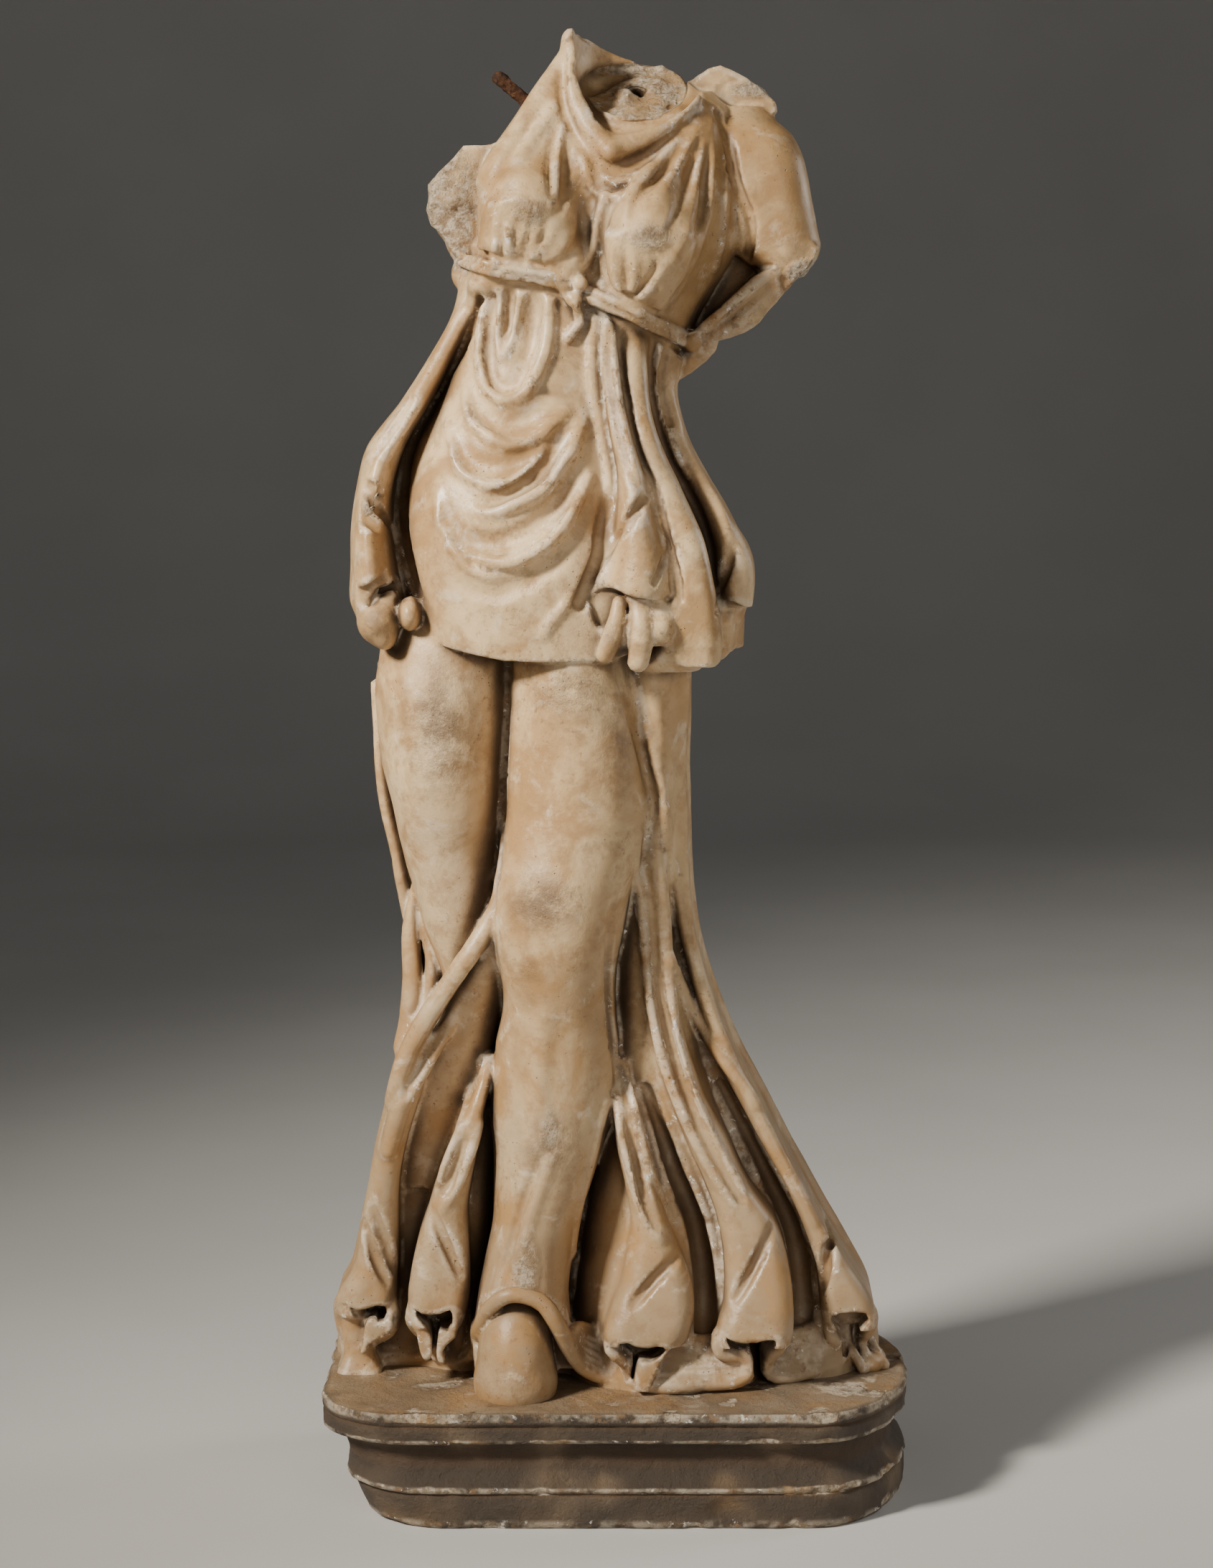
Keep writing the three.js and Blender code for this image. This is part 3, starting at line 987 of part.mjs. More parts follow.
let figure = solid(thin(meshOf(carveFigure()), FIGURE_TRIANGLES));
figure = cutNeck(largestBody(figure)).subtract(solid(socketMesh()));
let plinth = solid(plinthMesh());
for (const place of PLINTH_BREAKS) plinth = plinth.subtract(solid(boxMesh(place)));
const statue = largestBody(plinth.add(figure));

const part = new THREE.Group();
part.name = "marble_maenad_statue";
part.add(meshFrom(statue, "statue", MARBLE));
part.add(meshFrom(solid(dowelMesh()), "shoulder_dowel", RUSTED_IRON));

export default part;
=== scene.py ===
# Looks of the marble maenad: a finely carved figure, its plinth and the rusted dowel, in worn marble.
# The carving works in millimetres and each finished mesh is scaled to metres. The figure faces -Y.
# Left and right of the body are the figure's own. Left and right of a fold are the viewer's.

import math

import bpy
import numpy as np
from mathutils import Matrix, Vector


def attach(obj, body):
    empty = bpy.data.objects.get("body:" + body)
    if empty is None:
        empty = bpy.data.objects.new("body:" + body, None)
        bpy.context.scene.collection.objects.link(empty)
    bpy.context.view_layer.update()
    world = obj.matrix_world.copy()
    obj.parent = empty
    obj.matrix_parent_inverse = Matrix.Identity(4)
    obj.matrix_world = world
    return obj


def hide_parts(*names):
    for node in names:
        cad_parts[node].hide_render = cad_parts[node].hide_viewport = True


MM = 0.001
TINY = 1e-6
# The cells of the distance grid, the block of stone that it covers, and the distance far from any shape
GRID = 1.7
BLOCK_LOW = (-206, -126, 62)
BLOCK_HIGH = (206, 126, 1010)
FAR = 40.0
# The middle of an oval, where its distance isn't defined
CORE = 0.02
# The spacing along a line, the thinnest stroke, and the share of a fillet that folds keep
SAMPLE = 5.0
THINNEST = 1.7
CRISP = 0.6
# The figure's triangles, and how strongly the plain back is thinned out first
FIGURE_TRIANGLES = 196000
PLAIN_FACTOR = 0.5
PLAIN_LEVELS = 8

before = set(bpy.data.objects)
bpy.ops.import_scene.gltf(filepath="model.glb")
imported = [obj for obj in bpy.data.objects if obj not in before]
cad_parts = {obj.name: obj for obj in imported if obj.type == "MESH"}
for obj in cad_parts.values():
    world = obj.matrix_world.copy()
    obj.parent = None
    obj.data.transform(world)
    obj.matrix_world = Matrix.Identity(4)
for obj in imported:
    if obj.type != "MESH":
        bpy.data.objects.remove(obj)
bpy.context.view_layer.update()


# Camera at the photograph's place. Its tilt is in degrees below level.
CAMERA = {"place": (-0.008, -2.6, 0.85), "tilt": 7.8229, "lens": 87.244, "sensor": 36}


def make_camera():
    data = bpy.data.cameras.new("camera")
    data.sensor_fit = "AUTO"
    data.sensor_width = CAMERA["sensor"]
    data.lens = CAMERA["lens"]
    camera = bpy.data.objects.new("camera", data)
    camera.location = CAMERA["place"]
    camera.rotation_euler = (math.radians(90 - CAMERA["tilt"]), 0, 0)
    bpy.context.scene.collection.objects.link(camera)
    bpy.context.scene.camera = camera


make_camera()


# Numbers and lines
def soft_min(a, b, blend):
    """Joins two distances with a fillet about as wide as blend."""
    if blend <= 0:
        return np.minimum(a, b)
    h = np.clip(0.5 + 0.5 * (b - a) / blend, 0, 1)
    return b + (a - b) * h - blend * h * (1 - h)


def cubic(p0, p1, p2, p3, t):
    """A cubic through four values, at t between the middle two."""
    t2 = t * t
    t3 = t2 * t
    slopes = ((t3 - 2 * t2 + t) * (p2 - p0) + (t3 - t2) * (p3 - p1)) / 2
    return (2 * t3 - 3 * t2 + 1) * p1 + (3 * t2 - 2 * t3) * p2 + slopes


def along(values, t):
    """The value at t (0 to 1) along a list of evenly spaced values, or a single value."""
    if np.isscalar(values):
        return np.full(len(t), float(values))
    return np.interp(t, np.linspace(0, 1, len(values)), values)


def smooth_line(points):
    """A smooth line through the points, sampled at an even spacing."""
    points = np.array(points, float)
    line = []
    for i in range(len(points) - 1):
        p, q = points[i], points[i + 1]
        before, after = points[max(i - 1, 0)], points[min(i + 2, len(points) - 1)]
        count = max(1, round(np.linalg.norm(q - p) / SAMPLE))
        line += [cubic(before, p, q, after, k / count) for k in range(count)]
    line.append(points[-1])
    return np.array(line)


def rows_at(rows, z):
    """The numbers of a table at the heights z, from its rows of [z, ...numbers], top down."""
    rows = np.array(rows, float)
    n = len(rows)
    i = np.clip(np.searchsorted(-rows[:, 0], -z, side="right") - 1, 0, n - 2)
    t = np.clip((z - rows[i, 0]) / (rows[i + 1, 0] - rows[i, 0]), 0, 1)[:, None]
    value = cubic(rows[np.maximum(i - 1, 0)], rows[i], rows[i + 1], rows[np.minimum(i + 2, n - 1)], t)
    return value[:, 1:].T


# Shapes: each has its box, low and high, and gives distances at grid coordinates
class Column:
    """An upright mass with oval sections, in rows of [z, left, right, front, back] from the top down."""

    def __init__(self, rows, corner=None):
        table = np.array(rows, float)
        self.rows = rows
        self.corner = corner
        self.low = (table[:, 1].min(), table[:, 3].min(), table[-1, 0])
        self.high = (table[:, 2].max(), table[:, 4].max(), table[0, 0])

    def distance(self, x, y, z, margin):
        top, bottom = self.high[2], self.low[2]
        left, right, front, back = rows_at(self.rows, np.clip(z.ravel(), bottom, top))[:, :, None, None]
        a, b = (right - left) / 2, (back - front) / 2
        u, v = np.abs(x - (left + right) / 2), np.abs(y - (front + back) / 2)
        if self.corner is None:
            k0 = np.hypot(u / a, v / b)
            k1 = np.maximum(np.hypot(u / a ** 2, v / b ** 2), TINY)
            side = np.where(k0 < CORE, -np.minimum(a, b), k0 * (k0 - 1) / k1)
        else:
            r = np.minimum(np.minimum(a, b), self.corner)
            u, v = u - a + r, v - b + r
            side = np.hypot(np.maximum(u, 0), np.maximum(v, 0)) + np.minimum(np.maximum(u, v), 0) - r
        return np.maximum(side, np.maximum(z - top, bottom - z))


def on_column(rows, z, angle, out=0.0):
    """A point on a column's surface. Angle 0 is +X, 90 is the back. out lifts the point off it."""
    left, right, front, back = rows_at(rows, np.array([float(z)]))[:, 0]
    turn = math.radians(angle)
    x = (left + right) / 2 + ((right - left) / 2 + out) * math.cos(turn)
    y = (front + back) / 2 + ((back - front) / 2 + out) * math.sin(turn)
    return [x, y, z]


class Ball:
    def __init__(self, centre, radii):
        self.centre = centre
        self.radii = radii
        self.low = [c - r for c, r in zip(centre, radii)]
        self.high = [c + r for c, r in zip(centre, radii)]

    def distance(self, x, y, z, margin):
        u, v, w = [(p - c) / r for p, c, r in zip((x, y, z), self.centre, self.radii)]
        k0 = np.sqrt(u * u + v * v + w * w)
        k1 = np.sqrt((u / self.radii[0]) ** 2 + (v / self.radii[1]) ** 2 + (w / self.radii[2]) ** 2)
        return np.where(k0 < CORE, -min(self.radii), k0 * (k0 - 1) / np.maximum(k1, TINY))


class Stroke:
    """A round stroke along a line, with one radius, or a list of them spread along the line."""

    def __init__(self, line, radius):
        self.line = np.array(line, float)
        self.radii = np.maximum(along(radius, np.linspace(0, 1, len(self.line))), THINNEST)
        reach = self.radii.max()
        self.low = self.line.min(0) - reach
        self.high = self.line.max(0) + reach

    def distance(self, x, y, z, margin):
        nearest = np.full((z.size, y.size, x.size), 4 * FAR, np.float32)
        for p, q, rp, rq in zip(self.line, self.line[1:], self.radii, self.radii[1:]):
            reach = max(rp, rq) + margin
            low, high = np.minimum(p, q) - reach, np.maximum(p, q) + reach
            spans = zip((x, y, z), low, high)
            i, j, k = [slice(*np.searchsorted(c.ravel(), (a, b))) for c, a, b in spans]
            px, py, pz = x[:, :, i] - p[0], y[:, j] - p[1], z[k] - p[2]
            dx, dy, dz = q - p
            t = np.clip((px * dx + py * dy + pz * dz) / max(dx * dx + dy * dy + dz * dz, TINY), 0, 1)
            gap = np.sqrt((px - t * dx) ** 2 + (py - t * dy) ** 2 + (pz - t * dz) ** 2)
            part = nearest[k, j, i]
            np.minimum(part, gap - (rp + (rq - rp) * t), out=part)
        return nearest


class Slab:
    """A block between two depths, with its outline given as [x, z] corners."""

    def __init__(self, outline, near, far):
        self.outline = np.array(outline, float)
        self.near, self.far = near, far
        self.low = (self.outline[:, 0].min(), near, self.outline[:, 1].min())
        self.high = (self.outline[:, 0].max(), far, self.outline[:, 1].max())

    def distance(self, x, y, z, margin):
        best = np.full((z.size, 1, x.size), 1e6)
        inside = np.zeros((z.size, 1, x.size), bool)
        for (ax, az), (bx, bz) in zip(self.outline, np.roll(self.outline, 1, 0)):
            ex, ez = bx - ax, bz - az
            t = np.clip(((x - ax) * ex + (z - az) * ez) / (ex * ex + ez * ez), 0, 1)
            best = np.minimum(best, np.hypot(x - ax - ex * t, z - az - ez * t))
            if ez:
                inside ^= ((az > z) != (bz > z)) & (x < ex * (z - az) / ez + ax)
        return np.maximum(np.where(inside, -best, best), np.maximum(self.near - y, y - self.far))


class Stone:
    """Distances on a grid: below zero in the stone, above zero outside it."""

    def __init__(self):
        self.axes = [np.arange(low, high + GRID, GRID) for low, high in zip(BLOCK_LOW, BLOCK_HIGH)]
        self.values = np.full([len(axis) for axis in reversed(self.axes)], FAR, np.float32)

    def change(self, shape, blend, sign):
        margin = blend + 5
        cuts = []
        for axis, low, high in zip(self.axes, shape.low, shape.high):
            first, last = np.searchsorted(axis, (low - margin, high + margin))
            cuts.append(slice(max(first - 1, 0), last + 1))
        x, y, z = [axis[cut] for axis, cut in zip(self.axes, cuts)]
        distance = shape.distance(x[None, None, :], y[None, :, None], z[:, None, None], margin)
        cut = tuple(reversed(cuts))
        self.values[cut] = sign * soft_min(sign * self.values[cut], distance, blend)

    def mass(self, shape, blend=0):
        self.change(shape, blend, 1)

    def hollow(self, shape, blend=0):
        self.change(shape, blend, -1)

    def rope(self, points, radius, blend=0):
        self.mass(Stroke(smooth_line(points), radius), blend)

    def trench(self, points, radius, blend=0):
        self.hollow(Stroke(smooth_line(points), radius), blend)

    def cell(self, axis, values):
        """Places along an axis, counted in cells and kept inside the grid."""
        return np.clip((values - BLOCK_LOW[axis]) / GRID, 0, len(self.axes[axis]) - 1.001)

    def at(self, points):
        """The distances at points, between the grid's own."""
        place = [self.cell(axis, points[:, axis]) for axis in range(3)]
        i, j, k = [p.astype(int) for p in place]
        fx, fy, fz = [p - np.floor(p) for p in place]
        total = 0
        for dk, wz in ((0, 1 - fz), (1, fz)):
            for dj, wy in ((0, 1 - fy), (1, fy)):
                for di, wx in ((0, 1 - fx), (1, fx)):
                    total = total + self.values[k + dk, j + dj, i + di] * wx * wy * wz
        return total

    def outward(self, points, reach=4.0):
        """The directions out of the stone at points."""
        slopes = []
        for c in range(3):
            step = np.zeros(3)
            step[c] = reach
            slopes.append(self.at(points + step) - self.at(points - step))
        slopes = np.stack(slopes, 1)
        return slopes / np.maximum(np.linalg.norm(slopes, axis=1, keepdims=True), TINY)

    def fronts(self, x, z):
        """The depth at which the stone begins at each x and z, seen from the front, or NaN."""
        px, pz = self.cell(0, x), self.cell(2, z)
        i, k = px.astype(int), pz.astype(int)
        fx, fz = (px - i)[:, None], (pz - k)[:, None]
        v = self.values
        near = (v[k, :, i] * (1 - fx) + v[k, :, i + 1] * fx) * (1 - fz)
        near = near + (v[k + 1, :, i] * (1 - fx) + v[k + 1, :, i + 1] * fx) * fz
        first = (near < 0).argmax(1)
        n = np.arange(len(x))
        before, after = near[n, np.maximum(first - 1, 0)], near[n, first]
        depth = self.axes[1][first] - GRID * after / (after - before - 1e-9)
        return np.where(first > 0, depth, np.nan)

    def front_at(self, x, z):
        return float(self.fronts(np.array([x], float), np.array([z], float))[0])

    def on_front(self, points, lift, out=None):
        """Lays a line of [x, z] points on the front of the stone and lifts it off by lift."""
        line = smooth_line(points)
        x, z = line[:, 0], line[:, 1]
        depth = self.fronts(x, z)
        seen = np.flatnonzero(~np.isnan(depth))
        for n in np.flatnonzero(np.isnan(depth)):
            depth[n] = depth[seen[np.abs(z[seen] - z[n]).argmin()]]
        # The middle depth of seven neighbours leaves out the gaps between folds
        padded = np.pad(depth, 3, mode="edge")
        depth = np.median([padded[n:n + len(depth)] for n in range(7)], axis=0)
        padded = np.pad(depth, 1, mode="edge")
        depth = (padded[:-2] + 2 * depth + padded[2:]) / 4
        place = np.stack([x, depth, z], 1)
        t = np.linspace(0, 1, len(place))
        return place + self.outward(place) * lift(t)[:, None]

    def ridge(self, points, radius, height, blend):
        """A raised fold that stands height above the front."""
        line = self.on_front(points, lambda t: along(height, t) - along(radius, t))
        self.mass(Stroke(line, radius), CRISP * blend)

    def groove(self, points, radius, depth, blend):
        """A channel cut to a depth below the front."""
        line = self.on_front(points, lambda t: along(radius, t) - along(depth, t))
        self.hollow(Stroke(line, radius), CRISP * blend)

    def cleft(self, points, radius, depth, blend):
        """A narrow channel cut straight back, deeper than it is wide."""
        line = self.on_front(points, lambda t: 0 * t)
        spread = np.linspace(0, 1, len(line))
        layers = max(2, math.ceil(np.max(depth) / np.max(radius)))
        for share in np.linspace(0, 1, layers):
            back = np.maximum(along(depth, spread) - along(radius, spread), 0) * share
            self.hollow(Stroke(line + back[:, None] * np.array([0, 1, 0]), radius), blend)


# Tables of the great masses: [z, left, right, front, back], top down
TRUNK = [
    [964, -52, 64, -32, 46], [953, -60, 74, -38, 50], [929, -78, 82, -48, 56], [900, -94, 87, -54, 58],
    [872, -97, 87, -56, 56], [843, -102, 72, -52, 52], [814, -105, 55, -52, 50], [785, -112, 41, -54, 50],
    [756, -128, 38, -58, 54], [726, -146, 44, -62, 62], [697, -156, 54, -68, 72],
    [668, -161, 66, -74, 80], [638, -161, 74, -76, 84], [608, -160, 76, -76, 84],
    [569, -160, 76, -76, 82],
]
BELLY = [
    [840, -96, -8, -58, 10], [800, -104, -6, -62, 10], [760, -116, -2, -72, 10], [720, -130, 4, -82, 10],
    [680, -139, 10, -90, 10], [640, -138, 16, -92, 10], [606, -132, 20, -90, 10],
    [570, -124, 20, -86, 10],
]
NECK_COLUMN = [
    [998, -31, 47, -24, 36], [982, -27, 47, -26, 36], [963, -19, 47, -28, 36], [944, -14, 41, -30, 34],
    [929, -12, 33, -32, 32], [905, -11, 26, -34, 30],
]
FLAP = [
    [1001, -34, -26, -14, 20], [985, -43, -22, -24, 28], [965, -57, -20, -34, 34],
    [945, -70, -12, -42, 38], [925, -83, 6, -50, 40], [905, -91, 10, -52, 40],
]
# The back of the collar, seen through the opening: its top edge falls to the right
COLLAR_TOP = [[-34, 1001], [-26, 1001], [-20, 999], [-14, 995], [-8, 992], [2, 988], [15, 984], [30, 982],
              [42, 976], [49, 966]]
COLLAR_WALL = [*COLLAR_TOP, [49, 930], [-46, 930], [-46, 975]]
ABOVE_COLLAR = [*COLLAR_TOP[1:-1], [46, 969], [52, 1030], [-26, 1030]]
RIGHT_DRAPE = [
    [888, -88, -32, -79, -20], [868, -92, -26, -77, -20], [854, -96, -22, -73, -20],
    [842, -99, -22, -67, -20], [832, -100, -24, -58, -20],
]
LEFT_DRAPE = [
    [868, -8, 50, -81, -20], [850, -8, 46, -79, -20], [836, -8, 40, -74, -20], [822, -8, 32, -66, -20],
    [808, -4, 26, -52, -20],
]
O1 = [
    [840, -107, -92, -30, 10], [814, -113, -97, -34, 14], [785, -129, -108, -40, 20],
    [756, -148, -124, -48, 30], [727, -170, -142, -56, 40], [697, -178, -151, -64, 46],
    [668, -182, -152, -70, 50], [644, -182, -148, -74, 52], [622, -183, -142, -74, 52],
    [606, -178, -142, -62, 50],
]
O2 = [
    [819, -13, 3, -62, 0], [795, -14, 2, -66, 0], [766, -12, 5, -74, 0], [738, -8, 11, -82, 0],
    [714, -3, 19, -89, 0], [695, -3, 24, -93, 0], [675, -6, 31, -96, 0], [656, -9, 38, -98, 0],
    [639, -15, 42, -100, 0], [628, -20, 42, -100, 0], [616, -22, 40, -97, 0], [606, -19, 36, -93, 0],
    [598, -12, 30, -89, 0],
]
O3 = [
    [814, -6, 17, -48, 0], [785, -4, 19, -56, 0], [756, 0, 21, -64, 0], [728, 7, 29, -72, 0],
    [698, 14, 43, -79, 10], [669, 20, 56, -84, 10], [640, 22, 63, -87, 10], [611, 24, 68, -85, 10],
    [582, 30, 69, -80, 10],
]
O5 = [
    [787, 31, 44, -26, 30], [765, 29, 38, -30, 30], [746, 33, 42, -34, 34], [726, 39, 48, -38, 40],
    [706, 45, 61, -42, 46], [687, 53, 73, -48, 50], [667, 62, 83, -52, 54], [648, 68, 89, -56, 56],
    [620, 69, 91, -58, 56],
]
FRONT_LEG = [
    [610, -76, 12, -82, 30], [591, -76, 12, -82, 30], [542, -78, 19, -83, 30], [482, -80, 23, -85, 30],
    [453, -81, 17, -86, 25], [424, -82, 9, -89, 20], [400, -82, 3, -89, 15], [375, -80, -1, -86, 10],
    [345, -79, -2, -81, 5], [319, -84, 0, -78, 5], [269, -88, -3, -77, 5], [244, -86, -11, -77, 5],
    [218, -86, -19, -78, 5], [193, -87, -28, -80, 5], [168, -92, -32, -84, 5], [144, -97, -34, -92, 0],
    [114, -100, -30, -98, 0], [94, -100, -24, -98, 0],
]
BACK_THIGH = [
    [610, -160, -73, -60, 40], [585, -163, -73, -65, 40], [560, -166, -73, -71, 40],
    [510, -162, -76, -68, 38], [480, -155, -78, -62, 34], [450, -149, -80, -50, 30],
    [420, -141, -83, -44, 26], [395, -134, -88, -38, 22], [369, -124, -96, -32, 20],
    [340, -117, -107, -26, 18],
]
SKIRT = [
    [606, -160, 50, -30, 80], [566, -163, 47, -28, 80], [535, -164, 48, -20, 80],
    [505, -163, 47, -16, 80], [474, -158, 47, -12, 80], [443, -152, 48, -8, 80], [412, -146, 50, -6, 82],
    [381, -142, 54, -4, 84], [350, -141, 63, -4, 87], [308, -143, 79, -4, 92], [276, -151, 95, -4, 96],
    [245, -159, 110, -6, 100], [213, -167, 126, -8, 104], [182, -175, 143, -10, 108],
    [150, -181, 160, -14, 112], [119, -188, 172, -20, 114], [88, -194, 178, -30, 116],
    [62, -194, 178, -36, 116],
]
T1 = [
    [330, -142, -116, -36, 30], [300, -155, -129, -40, 30], [276, -161, -138, -42, 30],
    [250, -167, -146, -43, 34], [225, -172, -151, -43, 34], [202, -176, -153, -42, 34],
    [180, -179, -153, -40, 36], [160, -183, -153, -38, 36], [148, -189, -154, -37, 36],
    [138, -195, -154, -37, 36], [122, -195, -156, -37, 36],
]
T2 = [
    [308, -93, -87, -40, 0], [294, -96, -88, -52, 0], [273, -104, -92, -58, 0], [253, -113, -95, -60, 0],
    [228, -123, -100, -60, 0], [203, -131, -104, -60, 0], [178, -139, -103, -60, 0],
    [153, -144, -102, -60, 0], [138, -145, -103, -61, 0], [122, -143, -108, -61, 0],
]
T3 = [
    [306, 0, 5, -40, 0], [278, -3, 11, -58, 0], [253, -1, 17, -64, 0], [223, 5, 25, -68, 0],
    [198, 9, 34, -72, 0], [178, 6, 43, -76, 0], [159, 2, 50, -80, 0], [139, -5, 52, -85, 0],
    [124, -10, 49, -88, 0], [116, -9, 46, -88, 0],
]
T4 = [
    [476, 17, 29, -40, 0], [452, 15, 31, -46, 0], [412, 16, 32, -48, 0], [372, 18, 35, -50, 0],
    [343, 20, 40, -52, 0], [312, 25, 49, -54, 0], [282, 35, 60, -56, 0], [252, 47, 75, -58, 0],
    [222, 60, 89, -62, 0], [197, 69, 107, -66, 0], [172, 73, 116, -72, 0], [143, 73, 120, -80, 0],
    [124, 67, 120, -84, 0], [114, 67, 118, -84, 0],
]
T5 = [
    [590, 24, 50, -40, 40], [538, 17, 48, -34, 40], [498, 22, 47, -32, 40], [458, 30, 48, -30, 40],
    [417, 38, 50, -30, 44], [376, 47, 57, -28, 48], [335, 57, 70, -28, 52], [304, 68, 83, -30, 56],
    [273, 85, 99, -32, 60], [242, 102, 115, -34, 64], [211, 119, 131, -37, 68], [185, 130, 145, -40, 70],
    [159, 138, 162, -43, 72], [134, 141, 177, -46, 74], [116, 142, 179, -46, 76],
]
ARM_BACKING = [
    [905, 70, 116, 8, 34], [870, 66, 126, 8, 34], [845, 58, 122, 8, 34], [829, 52, 108, 6, 32],
    [806, 44, 86, 4, 28], [797, 42, 62, 2, 26],
]
ARM = [
    [954, 62, 98, 2, 36], [946, 60, 106, -10, 38], [936, 58, 117, -20, 38], [922, 58, 124, -26, 38],
    [907, 60, 128, -28, 38], [890, 62, 131, -28, 36], [874, 66, 134, -27, 34], [862, 72, 136, -26, 30],
    [852, 84, 133, -25, 26], [842, 96, 125, -22, 22],
]
ARM_END = [[98, 862], [135, 862], [134, 855], [127, 844], [121, 839], [115, 832], [109, 827], [102, 824],
           [101, 844]]
BACK_SLAB = [
    [44, 966], [52, 974], [61, 980], [69, 982], [76, 979], [86, 974], [99, 965], [107, 957], [108, 951],
    [103, 946], [82, 944], [50, 950],
]
ARM_LEAF = [
    [106, 846], [99, 843], [90, 839], [81, 830], [72, 821], [62, 812], [50, 803], [52, 799], [65, 797],
    [75, 799], [84, 802], [91, 806], [96, 810], [101, 817], [107, 823], [110, 830],
]
STUMP = [
    [-80, 929], [-92, 928], [-104, 928], [-113, 918], [-122, 908], [-128, 901], [-127, 895], [-129, 886],
    [-127, 874], [-118, 864], [-108, 852], [-90, 850],
]
RIGHT_BACKING = [
    [814, 0, 44, -34, 20], [756, 4, 40, -42, 20], [700, 8, 62, -50, 30], [650, 10, 84, -54, 40],
    [580, 14, 86, -54, 40],
]
THIGH_CLOTH = [
    [600, 0, 42, -56, 30], [540, 6, 43, -54, 30], [480, 12, 42, -50, 30], [420, 10, 40, -40, 30],
    [380, 8, 36, -28, 30],
]
STRIP_BACKING = [
    [575, -166, -110, 12, 56], [487, -162, -110, 12, 56], [447, -154, -106, 12, 56],
    [402, -146, -102, 12, 56], [366, -140, -100, 11, 56], [330, -140, -100, 10, 56],
    [260, -160, -110, 6, 56],
]
# The cloth between the folds, which runs out to the hem at the foot
PANELS = [
    [[430, -82, -68, -44, 20], [400, -98, -70, -50, 20], [372, -112, -72, -50, 20],
     [340, -132, -78, -44, 24], [304, -149, -86, -36, 28], [270, -156, -92, -26, 30],
     [210, -160, -98, -12, 30]],
    [[330, -142, -104, -14, 30], [250, -158, -100, -6, 30], [170, -182, -100, -2, 40],
     [110, -190, -98, -4, 40], [62, -192, -98, -10, 40]],
    [[300, -112, -80, -26, 20], [200, -126, -86, -24, 20], [130, -136, -88, -22, 20],
     [102, -132, -90, -20, 20], [62, -130, -90, -20, 20]],
    [[430, 0, 30, -46, 20], [300, -8, 60, -42, 20], [200, -20, 85, -48, 20], [130, -30, 95, -62, 20],
     [98, -32, 99, -74, 20], [62, -32, 99, -78, 20]],
    [[480, 20, 46, -20, 30], [400, 24, 50, -18, 30], [330, 40, 70, -18, 34], [250, 70, 108, -20, 34],
     [180, 90, 146, -20, 36], [130, 98, 164, -26, 40], [104, 98, 168, -38, 40], [62, 98, 170, -44, 40]],
]
O1_MOUTH = [
    [-190, 632], [-176, 633], [-167, 637], [-159, 643], [-151, 650], [-146, 654], [-143, 646],
    [-138, 634], [-134, 618], [-142, 596], [-190, 592],
]
O2_LEFT_MOUTH = [
    [-19, 628], [-14, 634], [-5, 636], [2, 634], [7, 630], [5, 623], [3, 606], [-3, 605], [-7, 609],
    [-14, 610], [-18, 619],
]
O2_RIGHT_MOUTH = [
    [6, 631], [12, 630], [20, 629], [26, 627], [31, 630], [35, 631], [39, 628], [40, 623], [38, 615],
    [32, 608], [26, 606], [20, 606], [13, 606], [8, 598], [7, 593], [4, 595], [3, 606], [4, 623],
]
O3_LEAF = [
    [616, 36, 67, -82, 10], [602, 30, 68, -82, 10], [593, 22, 68, -80, 10], [585, 15, 62, -77, 10],
    [578, 16, 54, -72, 10],
]
OVERFOLD_HEM = [
    [-186, 586], [-160, 588], [-146, 597], [-132, 599], [-112, 594], [-77, 587], [-39, 586], [-6, 586],
    [6, 590], [12, 600], [24, 592], [41, 583], [60, 579], [72, 588], [92, 590],
]
NECKLINE = [
    [-29, 1016], [-28, 985], [-28, 972], [-24, 960], [-18, 950], [-11, 941], [-5, 934], [4, 938],
    [20, 942], [36, 948], [45, 956], [49, 964], [53, 1016],
]
# The round space inside the collar, above the neck
COLLAR_ROUND = [
    [1020, -31, 62, -60, 26], [985, -29, 60, -56, 26], [965, -27, 56, -50, 26], [950, -22, 50, -46, 22],
    [938, -12, 42, -44, 14],
]
# The dark mouths of the hem folds, seen from the front
T1_MOUTH = [
    [-187, 131], [-181, 129], [-175, 130], [-168, 132], [-162, 131], [-161, 126], [-163, 121],
    [-167, 121], [-169, 124], [-173, 123], [-176, 120], [-177, 108], [-179, 100], [-180, 100],
    [-179, 110], [-179, 119], [-184, 125],
]
T2_MOUTH = [
    [-140, 136], [-135, 133], [-130, 132], [-123, 133], [-115, 136], [-114, 131], [-114, 125],
    [-118, 121], [-124, 122], [-125, 114], [-126, 95], [-128, 95], [-128, 114], [-129, 121], [-135, 125],
    [-139, 130],
]
T3_MOUTH = [
    [1, 119], [7, 120], [12, 117], [20, 116], [31, 117], [32, 114], [28, 110], [22, 107], [14, 107],
    [12, 100], [11, 90], [9, 90], [10, 102], [10, 108], [5, 111], [2, 114],
]
T4_MOUTH = [
    [74, 122], [80, 120], [86, 119], [93, 119], [101, 121], [107, 121], [108, 116], [104, 113], [99, 112],
    [98, 105], [99, 93], [96, 89], [93, 95], [93, 105], [90, 112], [82, 112], [75, 116],
]
T5_MOUTH = [
    [147, 126], [154, 129], [163, 130], [171, 129], [174, 124], [169, 118], [165, 115], [163, 108],
    [160, 94], [157, 93], [156, 103], [155, 115], [151, 118],
]
